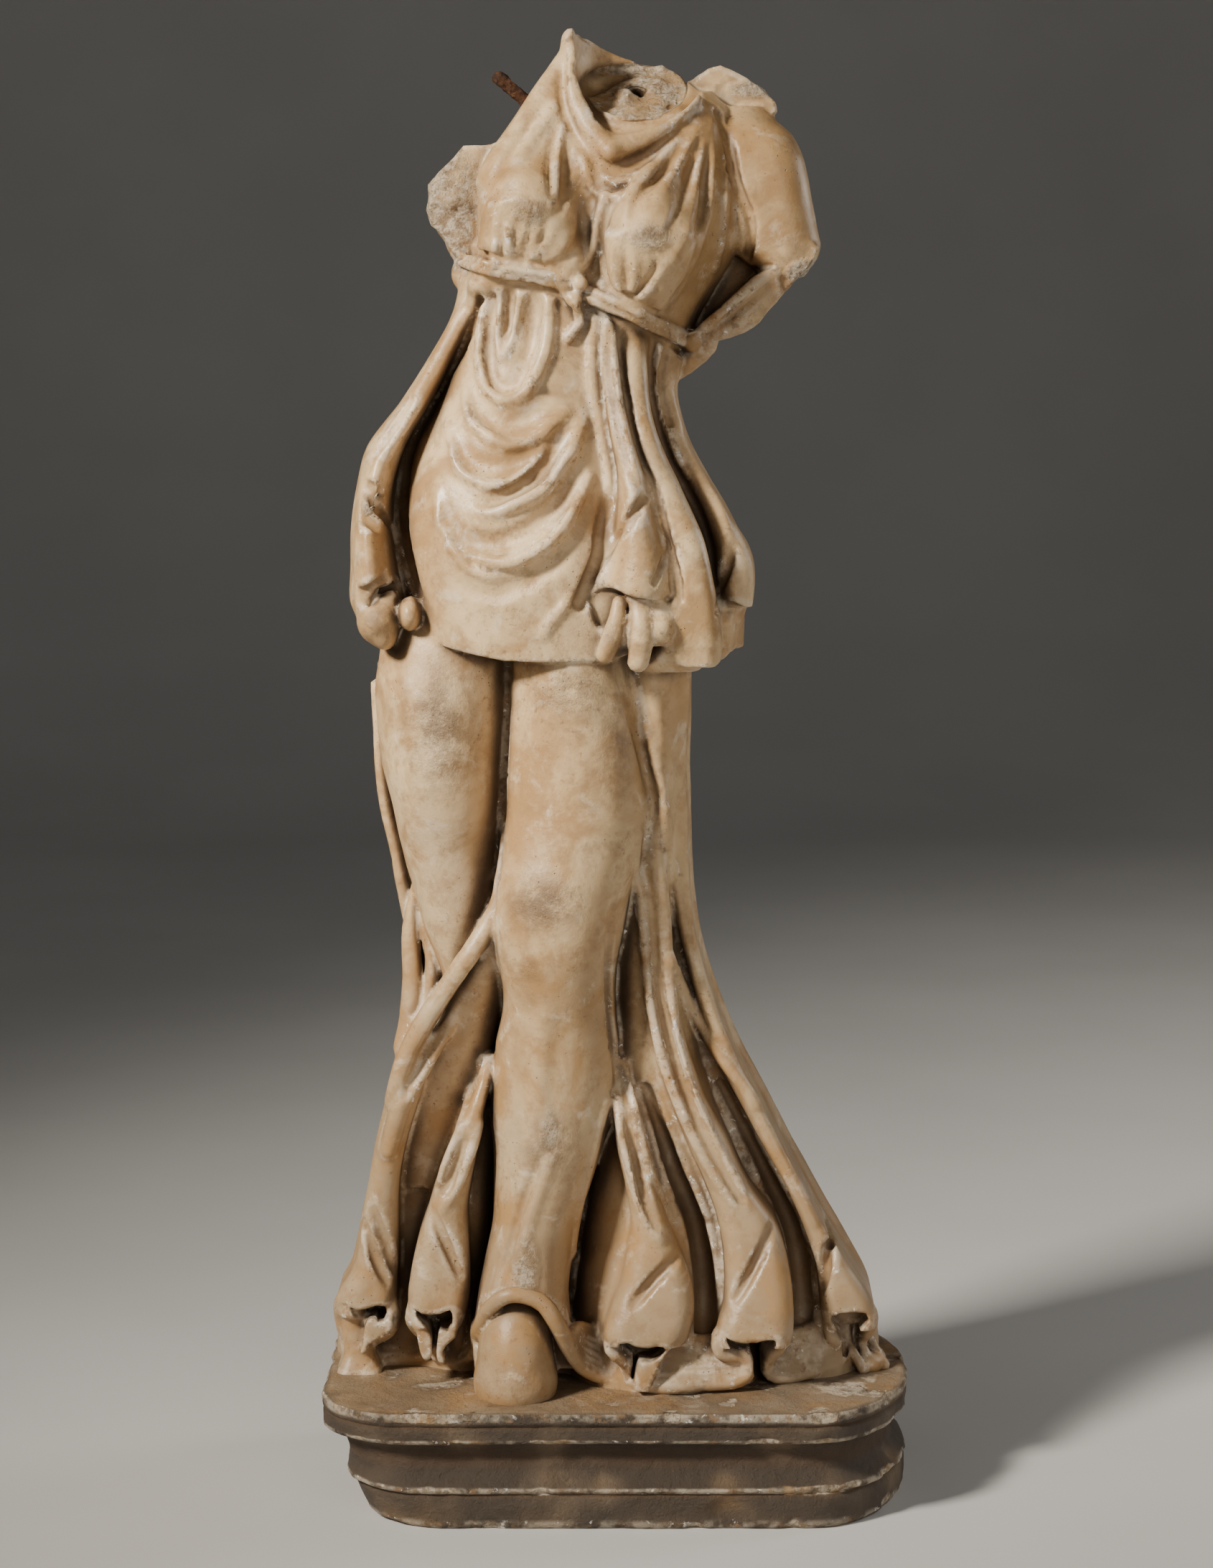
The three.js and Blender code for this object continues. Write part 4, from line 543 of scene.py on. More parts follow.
# The rolled lips of cloth below the mouths
T1_LIP = [
    [-176, 118], [-173, 123], [-169, 124], [-166, 120], [-161, 123], [-157, 126], [-156, 117],
    [-161, 111], [-166, 109], [-174, 104], [-176, 97], [-180, 99], [-179, 107],
]
T2_LEFT_LIP = [
    [-142, 125], [-136, 124], [-129, 119], [-128, 112], [-129, 100], [-134, 98], [-137, 106], [-139, 117],
]
T2_RIGHT_LIP = [
    [-124, 121], [-118, 119], [-114, 124], [-110, 125], [-112, 115], [-119, 109], [-122, 104], [-119, 96],
    [-124, 97], [-126, 104],
]
T3_LIP = [
    [12, 99], [15, 106], [23, 106], [28, 110], [32, 114], [35, 115], [29, 105], [24, 93], [21, 85],
    [13, 85], [10, 89],
]
FOOT_ARCH = [
    [-99, 60], [-98, 108], [-94, 128], [-88, 143], [-77, 152], [-64, 153], [-51, 147], [-42, 134],
    [-35, 117], [-28, 100], [-26, 60],
]


def carve_bust(stone):
    """Chest, shoulders and what is left of the arms."""
    stone.mass(Column(TRUNK))
    stone.mass(Column(NECK_COLUMN), 12)
    stone.mass(Column(FLAP, 10), 6)
    stone.mass(Slab(COLLAR_WALL, 14, 44), 5)
    stone.mass(Ball([-60, -38, 886], [33, 44, 37]), 18)
    stone.mass(Ball([20, -40, 868], [33, 45, 36]), 18)
    # The thin cloth hangs from the breasts to the belt
    stone.mass(Column(RIGHT_DRAPE, 16), 10)
    stone.mass(Column(LEFT_DRAPE, 12), 10)
    # The left upper arm, broken above the elbow, and the slab behind it
    stone.mass(Column(ARM, 24), 4)
    stone.mass(Slab(ARM_END, -20, 20), 5)
    stone.mass(Slab(BACK_SLAB, 16, 42), 5)
    stone.mass(Ball([77, 8, 937], [15, 20, 9]), 6)
    # The leaf of cloth below the arm, and the hollow between them
    stone.mass(Column(ARM_BACKING), 6)
    for y in (-34, -22, -10):
        stone.trench([[103, y, 847], [95, y, 845], [86, y, 840], [77, y, 832], [67, y, 821],
                      [55, y, 808]], [2, 3, 7, 11, 9, 3], 3)
    stone.mass(Slab(ARM_LEAF, -24, 16), 4)
    stone.rope([[105, -20, 842], [96, -24, 839], [87, -26, 832], [77, -26, 823], [67, -26, 814],
                [56, -24, 805]], 3.5, 3)
    stone.rope([[101, -20, 829], [90, -24, 819], [78, -25, 809], [64, -24, 802]], 3.5, 3)
    # The broken right shoulder
    stone.mass(Slab(STUMP, -12, 40), 6)
    stone.mass(Ball([-115, 4, 889], [13, 20, 16]), 5)
    stone.mass(Ball([-106, 8, 866], [10, 20, 18]), 5)
    stone.mass(Ball([-103, -2, 842], [10, 18, 12]), 4)
    for x, z, size in ((-110, 917, 12), (-96, 896, 14), (-117, 876, 10), (-104, 876, 9)):
        stone.hollow(Ball([x, -24, z], [size, 14, size]), 1)


def carve_bust_folds(stone):
    """Folds of the thin cloth over the chest, which run down from the collar and the shoulder button."""
    # Creases and ridges at the right shoulder
    stone.groove([[-52, 946], [-65, 928], [-75, 915], [-84, 905]], 5, [1, 2.5, 2.5, 1], 4)
    stone.ridge([[-42, 953], [-55, 934], [-65, 919], [-73, 908]], 5, [1, 3, 2.5, 0.5], 4)
    stone.groove([[-40, 942], [-43, 923], [-45, 908], [-44, 893]], 4, [1, 2.5, 2.5, 1], 4)
    stone.ridge([[-36, 941], [-39, 923], [-41, 908], [-41, 893]], 4, [1, 3, 3, 1], 3)
    stone.groove([[-32, 941], [-34, 923], [-35, 907], [-36, 892], [-41, 880]], 4.5, [1, 2.5, 3, 3, 1], 5)
    stone.groove([[-95, 894], [-97, 874], [-94, 853]], 5, [1, 4, 3], 3)
    # Folds that sag from the point of the collar
    stone.ridge([[-22, 926], [-20, 908], [-15, 898], [-7, 892], [2, 894], [10, 900], [21, 911]], 5,
                [1, 3, 4, 4, 4, 3, 1], 4)
    stone.groove([[-17, 908], [-12, 898], [-5, 896], [2, 898], [8, 904]], 3.5, [1, 3.5, 4, 3, 1], 3)
    stone.ridge([[-12, 911], [-7, 904], [0, 902], [9, 906], [21, 914]], 3.5, [1, 3, 3, 2, 1], 3)
    stone.groove([[-8, 909], [2, 911], [15, 916], [31, 926], [44, 936]], 5, [1, 2.5, 3, 2.5, 1], 5)
    for fold in (
        [[52, 946], [34, 928], [20, 908], [7, 892], [4, 876]],
        [[56, 942], [42, 920], [30, 898], [20, 878]],
        [[60, 940], [53, 916], [50, 892], [44, 868], [34, 850]],
        [[63, 941], [62, 910], [60, 884], [52, 856], [40, 830]],
    ):
        stone.ridge(fold, 5, [1, 2.6, 2.8, 2, 0.6], 5)
    for crease in (
        [[46, 934], [36, 917], [25, 904], [14, 893], [9, 880]],
        [[54, 930], [47, 908], [40, 888], [32, 868]],
        [[60, 925], [57, 902], [55, 880], [48, 858], [38, 840]],
    ):
        stone.groove(crease, 3.5, [1, 2.5, 3, 2.5, 1], 3)
    stone.ridge([[68, 950], [70, 936], [72, 924], [71, 912], [72, 899], [71, 882], [69, 864], [65, 846]],
                3.5, 2.5, 3)
    stone.groove([[67, 950], [72, 936], [75, 922], [78, 906], [83, 892], [88, 880], [89, 866], [86, 852]],
                 4, 4, 2)
    # The hollow below the right breast, the ridge beside it, and the pleats gathered by the belt
    stone.groove([[-18, 890], [-22, 874], [-27, 861], [-36, 851], [-47, 846]], [4, 6, 6, 5, 3],
                 [1, 2, 2, 1.5, 0.5], 6)
    stone.ridge([[-10, 893], [-14, 875], [-17, 859], [-22, 848], [-31, 841]], 5, [2, 3, 3, 3, 1], 4)
    stone.groove([[-4, 888], [-9, 877], [-11, 864], [-10, 846], [-6, 829]], 4, [1, 4, 5, 5, 3], 3)
    for pleat in (
        [[-80, 894], [-85, 872], [-87, 850]], [[-72, 888], [-77, 868], [-79, 849]],
        [[-64, 882], [-69, 864], [-71, 848]], [[-56, 880], [-60, 862], [-63, 847]],
        [[-47, 878], [-50, 862], [-56, 846]], [[5, 867], [4, 852], [5, 840], [8, 828]],
        [[21, 860], [25, 850], [21, 839], [10, 828]], [[40, 831], [34, 820], [25, 812]],
        [[-93, 878], [-93, 854]],
    ):
        stone.groove(pleat, [1.7, 2.3, 2.6], [0.3, 1.6, 2.3, 2.6], 3)
    for pleat in (
        [[-82, 888], [-81, 868], [-82, 852]], [[-74, 883], [-72, 866], [-71, 850]],
        [[-41, 878], [-47, 863], [-60, 849]], [[-3, 866], [-4, 852], [-2, 840], [3, 828]],
        [[9, 863], [11, 849], [9, 832]], [[31, 850], [24, 836], [13, 825]],
    ):
        stone.ridge(pleat, 3, [0.3, 1.8, 2.2], 3)
    # The collar stands up as a thick band round the opening
    stone.ridge([[-31, 1000], [-31, 984], [-30, 968], [-26, 953], [-16, 936], [-5, 923]], 8, 4, 3)
    stone.ridge([[-5, 923], [13, 929], [28, 937], [41, 947], [51, 957]], 8, 4, 3)
    stone.groove([[-36, 988], [-38, 970], [-36, 951], [-28, 933], [-15, 914]], 4, [1, 3, 3, 3, 1], 4)
    stone.groove([[3, 914], [18, 920], [32, 930], [44, 940], [52, 948]], 4, [1, 2.2, 2.4, 2.2, 1], 4)
    stone.mass(Ball([57, -40, 957], [5.5, 6, 6]), 2)


BELT = {"left_x": -106, "left_z": 851, "middle": 820, "slope": 0.36}


def carve_belt(stone):
    """The cord of two strands tied below the breasts, with its knot and tassel."""
    for points, spread in (
        ([[-107, 851], [-93, 848], [-80, 845], [-67, 843], [-55, 841], [-38, 837]], 2.2),
        ([[-21, 829], [-7, 824], [9, 817], [20, 811], [34, 804], [48, 797], [57, 793]], 2.6),
    ):
        for side in (1, -1):
            stone.groove([[x, z + side * (spread + 5.5)] for x, z in points], 3.5, 1.4, 3)
        strands = []
        for rise in (spread, -spread):
            line = stone.on_front([[x, z + rise] for x, z in points], lambda t: 0 * t + 1.4)
            strands.append(Stroke(line, spread + 0.5))
        for strand in strands:
            stone.mass(strand, 0.5)
    # Behind, the belt runs on round the body at the same slope
    back = []
    for angle in range(0, 181, 15):
        x = on_column(TRUNK, BELT["middle"], angle)[0]
        z = BELT["left_z"] - (x - BELT["left_x"]) * BELT["slope"]
        back.append(on_column(TRUNK, z, angle, 1))
    stone.rope(back, 5, 2)
    # The knot and the tassel below it
    front = stone.front_at(-34, 833)
    for x, z, size in ((-36, 835, 6), (-26, 836, 6), (-30, 826, 6), (-35, 829, 4)):
        stone.mass(Ball([x, front - 1, z], [size] * 3), 1)
    stone.ridge([[-29, 823], [-27, 816], [-26, 810], [-30, 805], [-34, 799]], 3.2, 4, 1)
    # The end of the belt at the left side, and the cloth that droops from it
    stone.mass(Ball([50, -16, 797], [9, 10, 8]), 3)
    stone.mass(Ball([60, -14, 795], [7, 9, 8]), 3)
    stone.rope([[54, -12, 789], [46, -12, 780], [38, -10, 772]], [8, 6, 3], 3)


def carve_overfold(stone):
    """The overfold: a smooth belly with hanging loops of cloth, and bundles of folds at both sides."""
    stone.mass(Column(BELLY), 14)
    stone.mass(Column(O1), 3)
    stone.mass(Column(RIGHT_BACKING), 8)
    stone.mass(Column(O2), 6)
    stone.mass(Column(O3, 12), 3)
    stone.mass(Column(O5, 14), 4)
    # Hanging loops, each with a hollow above its ridge
    for loop, radius, height in (
        ([[-78, 832], [-79, 801], [-77, 787], [-71, 801], [-65, 832]], 3.5, 4.5),
        ([[-88, 832], [-91, 799], [-92, 785], [-89, 772], [-85, 763], [-77, 759], [-67, 760], [-59, 768],
          [-54, 777], [-49, 790], [-47, 802], [-45, 832]], 5, 5.5),
        ([[-102, 768], [-100, 754], [-96, 744], [-88, 737], [-78, 731], [-67, 729], [-56, 732],
          [-47, 740], [-36, 750]], 5, 5),
        ([[-114, 743], [-111, 731], [-107, 718], [-100, 709], [-92, 705], [-81, 703], [-70, 705],
          [-61, 712], [-52, 722]], 4.5, 4.5),
        ([[-93, 687], [-83, 686], [-70, 690], [-58, 696], [-48, 702], [-39, 713], [-32, 726], [-24, 745]],
         5, 6),
        ([[-121, 698], [-119, 682], [-114, 670], [-107, 658], [-99, 649], [-89, 644], [-78, 642]],
         5, 3.5),
        ([[-97, 659], [-86, 654], [-73, 653], [-61, 657], [-50, 663], [-39, 673], [-34, 682], [-28, 693],
          [-20, 708]], 5, 6.5),
        ([[-32, 630], [-38, 622], [-45, 613], [-50, 604]], 4, 3),
    ):
        stone.ridge(loop, radius, [height / 3, height, height, height, height, height / 3], 5)
    for hollow, radius, depth in (
        ([[-72, 832], [-73, 812], [-76, 797]], 3.5, 4),
        ([[-84, 826], [-86, 800], [-84, 775], [-77, 768], [-68, 770]], 4, 3),
        ([[-66, 780], [-59, 795], [-55, 830]], 5, 4),
        ([[-94, 758], [-86, 748], [-74, 744], [-60, 748], [-48, 760]], 7, 3.5),
        ([[-104, 730], [-98, 720], [-84, 716], [-66, 720], [-52, 732]], 7, 3),
        ([[-92, 692], [-78, 696], [-60, 706], [-46, 720], [-38, 736]], 5, 5),
        ([[-112, 686], [-104, 670], [-92, 666], [-74, 668], [-54, 678], [-38, 696], [-30, 714]], 8, 5),
        ([[-100, 636], [-84, 633], [-62, 640], [-44, 652], [-28, 668]], 9, 3.5),
    ):
        stone.groove(hollow, radius, [0.5, depth, depth, depth, 0.5], 6)
    stone.hollow(Ball([-80, -96, 713], [4.5, 7, 6]), 4)
    stone.mass(Ball([-57, stone.front_at(-57, 771) + 1, 771], [4, 4, 4]), 2)
    # The deep groove beside the left bundle, its ridge and creases, and a broken place
    stone.cleft([[-92, 826], [-97, 810], [-104, 793], [-112, 777], [-121, 761], [-130, 747], [-138, 732],
                 [-143, 717], [-145, 700], [-145, 681], [-143, 664], [-140, 651], [-137, 640],
                 [-134, 630]], [2, 3, 3, 3.5, 4, 5, 5.5, 5.5, 5, 3],
                [3, 6, 8, 11, 14, 18, 21, 21, 19, 12], 4)
    stone.ridge([[-94, 836], [-99, 822], [-111, 802], [-120, 787], [-128, 772], [-137, 757], [-144, 745],
                 [-151, 732], [-157, 722]], 6, [2, 4, 4, 4, 1], 5)
    stone.groove([[-140, 759], [-148, 745], [-157, 731], [-163, 724]], 4, 3.5, 3)
    stone.groove([[-172, 706], [-163, 691], [-155, 677], [-149, 663]], 4, [1, 4, 5, 3], 3)
    stone.groove([[-170, 695], [-168, 682], [-160, 674]], 7, [2, 4, 2], 2)
    # The second bundle: a long hollow down its middle, and a fan that spreads to the left below a pinch
    stone.ridge([[-14, 832], [-17, 799], [-18, 779], [-16, 763], [-12, 746], [-9, 727], [-6, 711],
                 [-5, 697]], 5.5, 5, 4)
    stone.groove([[-3, 818], [-7, 791], [-8, 776], [-6, 760], [-2, 744], [2, 727], [8, 713], [13, 705]],
                 5.5, [2, 5, 6, 6, 5, 2], 4)
    stone.groove([[-7, 696], [-11, 674], [-13, 656], [-19, 640], [-25, 626]], 6, [2, 5, 7, 8, 6], 4)
    stone.groove([[17, 697], [11, 687], [5, 678], [-2, 667], [-7, 656]], 4.5, [2, 6, 6, 4, 1], 3)
    stone.ridge([[20, 694], [10, 680], [2, 666], [-4, 653], [-11, 642]], 4, 2, 4)
    stone.groove([[33, 662], [29, 652], [24, 640]], 2.5, 3, 2)
    stone.groove([[35, 662], [36, 646], [37, 632]], 3, 4, 2)
    # The grooves on both sides of the broad flat bundle, and the round bundle at the left hip
    stone.groove([[-1, 813], [1, 799], [3, 776], [6, 760], [10, 739], [15, 722], [25, 700], [31, 677],
                  [36, 657], [40, 641], [41, 628]], 2.6, 3, 1)
    stone.cleft([[24, 799], [22, 780], [23, 761], [28, 740], [35, 719], [43, 704], [51, 689], [57, 675],
                 [61, 662], [64, 646], [65, 633], [66, 619]], [2, 2, 2.5, 3, 3, 2.5],
                [4, 6, 9, 12, 14, 10], 2)
    stone.mass(Ball([79, -24, 642], [12, 30, 24]), 8)
    stone.ridge([[37, 739], [46, 720], [57, 703], [67, 687], [72, 674], [74, 660]],
                5, [0.5, 3, 3, 3, 1], 4)
    stone.groove([[77, 662], [74, 649], [69, 637], [65, 629]], 4, [1, 4, 5, 4], 3)
    stone.groove([[33, 790], [30, 775], [31, 758], [35, 743]], 3.5, 4, 2)
    carve_overfold_back(stone)


def carve_overfold_back(stone):
    """Plain folds behind, from the belt to the hem."""
    for angle, lean in ((20, 4), (48, 3), (76, 0), (104, -2), (132, -3), (160, -4)):
        fold = [on_column(TRUNK, z, angle + (815 - z) / 225 * lean, -3) for z in range(815, 565, -25)]
        stone.rope(fold, [4, 8, 10, 12], 8)
    for x in (-50, -16, 18):
        stone.trench([[x - (930 - z) * 0.1, 60, z] for z in range(930, 839, -15)], [2, 6, 3], 6)


def carve_overfold_ends(stone):
    """The open ends of the overfold bundles, where the cloth turns back on itself round dark hollows."""
    # Left bundle: under a slanting rim the cloth is broken back, with two lumps hanging from a dark mouth
    stone.hollow(Slab(O1_MOUTH, -130, -62), 2)
    stone.mass(Ball([-161, -50, 611], [15, 22, 17]), 3)
    stone.mass(Ball([-157, -54, 600], [8, 14, 9]), 4)
    stone.mass(Ball([-140, -56, 616], [8.5, 16, 12]), 2)
    for y in (-70, -62, -54, -46):
        stone.trench([[-166, y, 623], [-160, y, 631], [-150, y, 634], [-143, y, 627]],
                     [2.5, 4, 4, 2.5], 1)
    stone.trench([[-151, -74, 626], [-149, -74, 612], [-147, -72, 604]], 2.4, 1)
    # Second bundle: two recesses under a curved rim, with tubes of cloth and a dark cave between them
    stone.mass(Column(O3_LEAF, 12), 3)
    stone.hollow(Slab(O2_LEFT_MOUTH, -130, -78), 3)
    stone.hollow(Slab(O2_RIGHT_MOUTH, -130, -89), 3)
    stone.hollow(Ball([8, -92, 622], [8, 20, 7]), 2)
    stone.hollow(Ball([33, -92, 628], [3.5, 10, 3]), 1)
    stone.rope([[0, -88, 627], [-1, -89, 617], [-4, -89, 604], [-9, -88, 592]], [4, 6, 7, 6], 5)
    stone.rope([[13, -86, 624], [15, -90, 612], [15, -90, 599], [13, -88, 587]], [6, 7, 8, 7], 5)
    stone.mass(Ball([27, -84, 609], [10, 10, 12]), 4)
    stone.trench([[6, -95, 618], [4, -94, 604], [3, -92, 592]], [3, 2.5, 2.5], 1)
    # Right bundle: a mouth above a hanging tail
    stone.trench([[64, -54, 620], [71, -54, 621], [80, -54, 621]], [2.5, 3.5, 3], 1.5)
    stone.trench([[63, -52, 616], [67, -52, 602], [67, -52, 590]], 2.5, 2)
    stone.rope([[70, -30, 622], [70, -38, 606], [70, -40, 593], [69, -40, 588]], [7, 8, 7, 5], 4)
    stone.rope([[82, -14, 622], [78, -24, 608], [73, -30, 594]], [6, 6, 4], 4)


def carve_legs(stone):
    """Legs, back cloth and the cloth between the folds."""
    stone.mass(Column(SKIRT))
    for rows in PANELS:
        stone.mass(Column(rows), 10)
    stone.mass(Column(BACK_THIGH), 4)
    stone.mass(Column(FRONT_LEG), 6)
    stone.mass(Column(THIGH_CLOTH), 10)
    stone.mass(Ball([-44, -56, 412], [34, 26, 50]), 26)
    stone.hollow(Slab(FOOT_ARCH, -130, -62), 3)
    # The foot is a plain rounded block
    stone.mass(Ball([-70, -74, 101], [26.5, 32, 49]), 3)
    stone.mass(Ball([-70, -74, 90], [28.5, 32, 24]), 6)
    # Raised edge of the cloth on the left thigh, and the groove between the thighs
    stone.ridge([[6, 583], [13, 560], [22, 528], [29, 502], [32, 482], [33, 452], [32, 424]], 4,
                [0.5, 1.6, 1.8, 1], 4)
    stone.groove([[-2, 580], [5, 556], [14, 526], [22, 498], [26, 476], [26, 448]], 4, [1, 2.5, 3, 2], 4)
    stone.groove([[-73, 590], [-75, 548], [-77, 506], [-79, 468], [-82, 436], [-88, 406], [-98, 382]], 5,
                 [5, 7, 7, 6, 4], 3)
    # Edge of the cloth along the shin, and creases above the foot
    stone.ridge([[-8, 282], [-18, 242], [-27, 207], [-32, 171], [-31, 140]], 5, 3, 4)
    stone.groove([[-52, 246], [-62, 222], [-71, 196], [-79, 168], [-84, 150]],
                 4.5, [1, 3.5, 3.5, 3, 1], 4)
    stone.ridge([[-46, 244], [-55, 220], [-62, 196], [-68, 172]], 5, [1, 2.5, 2.5, 1], 4)
    stone.ridge([[-50, 345], [-54, 300], [-58, 256]], 8, 2, 8)
    # Strips of the back cloth at the viewer's left
    stone.mass(Column(STRIP_BACKING, 8), 6)
    stone.rope([[-166, 10, 560], [-162, 10, 487], [-154, 10, 447], [-146, 10, 402], [-139, 10, 366],
                [-138, 8, 330]], 5, 4)
    stone.rope([[-134, 0, 400], [-129, -4, 370], [-131, -6, 344], [-138, -10, 320]], 5, 4)
    stone.rope([[-140, 2, 420], [-144, 0, 392], [-143, -2, 362], [-144, -4, 332], [-150, -8, 310]],
               [4, 6, 7, 8, 6], 4)


def carve_folds(stone):
    """The great hanging folds of the skirt, from left to right."""
    for rows, corner, blend in ((T1, 15, 6), (T2, 14, 5), (T3, 16, 6), (T4, 15, 6), (T5, 12, 6)):
        stone.mass(Column(rows, corner), blend)
    # The rope of cloth that comes out behind the left knee and crosses to the hem
    stone.rope([[-72, -44, 446], [-78, -50, 424], [-88, -54, 404], [-100, -56, 384], [-116, -54, 360],
                [-133, -50, 333], [-146, -46, 306], [-155, -40, 278]], [3, 6, 7, 8, 8, 8, 8, 6], 3)
    stone.rope([[-102, -34, 376], [-107, -38, 354], [-118, -42, 330], [-134, -44, 304], [-149, -44, 276],
                [-158, -42, 244]], [3, 5, 6, 7, 7, 6], 4)
    stone.trench([[-92, -56, 384], [-103, -56, 362], [-117, -54, 338], [-132, -52, 312],
                  [-146, -50, 284]], [2, 5, 6, 6, 2], 3)
    # Ridges and forks on the folds
    for fold, radius, height in (
        ([[-90, 303], [-101, 282], [-109, 259], [-119, 234], [-127, 209]], 4, 3.5),
        ([[-94, 266], [-103, 240], [-112, 219], [-121, 206]], 4, 3.5),
        ([[-1, 284], [4, 256], [12, 228], [21, 202], [29, 188]], 4, 4),
        ([[4, 300], [10, 278], [16, 253], [24, 226], [36, 197]], 4, 4),
        ([[14, 466], [12, 440], [16, 418], [19, 383], [23, 348], [31, 309], [45, 271], [63, 233],
          [79, 214]], 4.5, 4),
        ([[26, 476], [27, 450], [31, 422], [34, 378], [38, 338], [47, 298], [63, 258], [85, 220]],
         4.5, 4),
        ([[32, 482], [35, 452], [41, 418], [50, 378], [62, 343], [75, 313], [90, 283], [107, 247],
          [123, 217], [134, 191]], 5, 3),
        ([[36, 379], [49, 341], [65, 316], [80, 295], [96, 274]], 5, 5),
    ):
        stone.ridge(fold, radius, [height / 2, height, height, height, height / 3], 4)
    for crease in (
        [[-178, 196], [-170, 172], [-160, 148]], [[-170, 204], [-162, 180], [-155, 156]],
        [[-128, 204], [-118, 182], [-108, 160]], [[-104, 256], [-112, 238], [-118, 220]],
        [[6, 271], [13, 241], [21, 211], [26, 198]], [[42, 178], [26, 164], [10, 146]],
        [[20, 440], [24, 398], [28, 358], [35, 323], [46, 288], [62, 253], [84, 214]],
        [[106, 196], [94, 172], [80, 148]], [[151, 192], [145, 170], [141, 145]],
    ):
        stone.groove(crease, 4.5, [1, 5, 6, 3], 3)
    # The deep shadows between the folds
    for gap, radius, depth in (
        ([[19, 287], [29, 259], [40, 226], [53, 192], [59, 159], [60, 126], [58, 98]],
         [2, 3, 5, 6, 7, 7, 5], [3, 8, 15, 22, 24, 18, 7]),
        ([[71, 286], [90, 249], [106, 216], [121, 183], [128, 149], [129, 120], [122, 99]],
         [2, 3, 4, 5, 6, 6, 4], [3, 6, 10, 13, 14, 11, 4]),
    ):
        stone.cleft(gap, radius, depth, 4)
    stone.groove([[-4, 420], [-6, 380], [-5, 340], [1, 300], [8, 280]], 5, [1, 5, 7, 7, 3], 4)


# The edge of the hem thickens below a height: each turn of it lies further back and higher
HEM_ROLL = {"below": 122, "fade": 25, "turns": 6, "back": 2.6, "up": 4.4}


def carve_hem(stone):
    """The hem: each fold has a hollow mouth, and between the folds the edge curls back onto the plinth."""
    for points, radius in (
        ([[-192, -27, 135], [-193, -14, 116], [-191, -6, 99], [-189, -2, 84]], 5),
        ([[-158, -26, 136], [-156, -28, 121], [-160, -24, 110], [-170, -18, 103], [-178, -12, 95],
          [-177, -8, 87], [-163, -8, 85], [-148, -8, 86], [-137, -12, 91], [-132, -22, 102],
          [-138, -36, 114], [-143, -46, 126], [-141, -46, 138]], 4.5),
        ([[-108, -46, 138], [-110, -46, 126], [-119, -38, 114], [-126, -26, 102], [-126, -18, 90],
          [-116, -16, 86], [-104, -24, 92], [-98, -40, 106], [-95, -66, 124], [-88, -84, 143],
          [-77, -92, 154], [-64, -93, 155], [-51, -92, 149], [-42, -90, 135], [-35, -82, 116],
          [-27, -72, 100], [-14, -64, 90], [0, -62, 88], [8, -66, 94], [2, -74, 104], [-6, -77, 112],
          [-5, -70, 126]], 4.5),
        ([[30, -86, 116], [21, -80, 110], [14, -76, 100], [13, -76, 90], [20, -77, 87], [36, -78, 86],
          [51, -78, 88], [68, -76, 88], [83, -73, 89], [92, -70, 97], [85, -70, 105], [73, -74, 107],
          [68, -74, 114], [71, -66, 126]], 4.5),
        ([[116, -66, 124], [112, -66, 112], [104, -62, 102], [102, -56, 92], [108, -54, 86],
          [122, -48, 85], [138, -40, 87], [152, -30, 89], [158, -26, 98], [148, -36, 110],
          [146, -32, 127]], 4.5),
        ([[174, -32, 130], [176, -26, 114], [170, -14, 101], [169, -4, 87]], 4.5),
    ):
        for turn in range(HEM_ROLL["turns"], -1, -1):
            line = []
            for x, y, z in points:
                shift = min(1, max(0, (HEM_ROLL["below"] - z) / HEM_ROLL["fade"])) * turn
                line.append([x, y + HEM_ROLL["back"] * shift, z + HEM_ROLL["up"] * shift])
            stone.rope(line, [2.5, *[radius] * 7, 2.5], 2)
    for outline, near, far in (
        (T1_LIP, -38, 0), (T2_LEFT_LIP, -56, -20), (T2_RIGHT_LIP, -56, -20), (T3_LIP, -86, -56),
    ):
        stone.mass(Slab(outline, near, far), 3)
    # The mouths, under the rims
    for outline, near, far in (
        (T1_MOUTH, -62, -8), (T2_MOUTH, -84, -30), (T3_MOUTH, -112, -60), (T4_MOUTH, -112, -56),
        (T5_MOUTH, -62, -24),
    ):
        stone.hollow(Slab(outline, near, far), 1.5)
    # The dark gap between the hem and the plinth
    for points in (
        [[-174, -14, 81], [-162, -14, 80], [-148, -14, 81], [-138, -18, 84]],
        [[-124, -24, 83], [-114, -24, 81], [-104, -32, 85]],
        [[-26, -82, 90], [-14, -74, 83], [0, -72, 82], [8, -76, 85]],
        [[14, -88, 82], [34, -89, 81], [52, -89, 81], [68, -87, 82], [84, -84, 82]],
    ):
        stone.trench(points, 2.4, 1)
    # The hem spreads at both ends
    stone.mass(Ball([176, -6, 86], [13, 22, 9]), 5)
    for x, y in ((165, -16), (173, -12), (181, -6)):
        stone.rope([[x - 4, y - 4, 104], [x, y - 8, 94], [x + 6, y - 10, 84]], [2, 3.5, 4], 2)
    stone.mass(Column([[136, -194, -178, -30, 20], [112, -193, -174, -28, 24], [94, -192, -170, -30, 26],
                       [80, -197, -164, -36, 30]], 8), 4)


def carve_skirt_back(stone):
    """Broad plain folds of the skirt at the back and sides."""
    for angle in (-4, 18, 40, 62, 84, 106, 128, 150, 172, 190):
        fold = [on_column(SKIRT, z, angle, -4) for z in range(585, 60, -40)]
        stone.rope(fold, [5, 7, 9, 12, 14], 9)


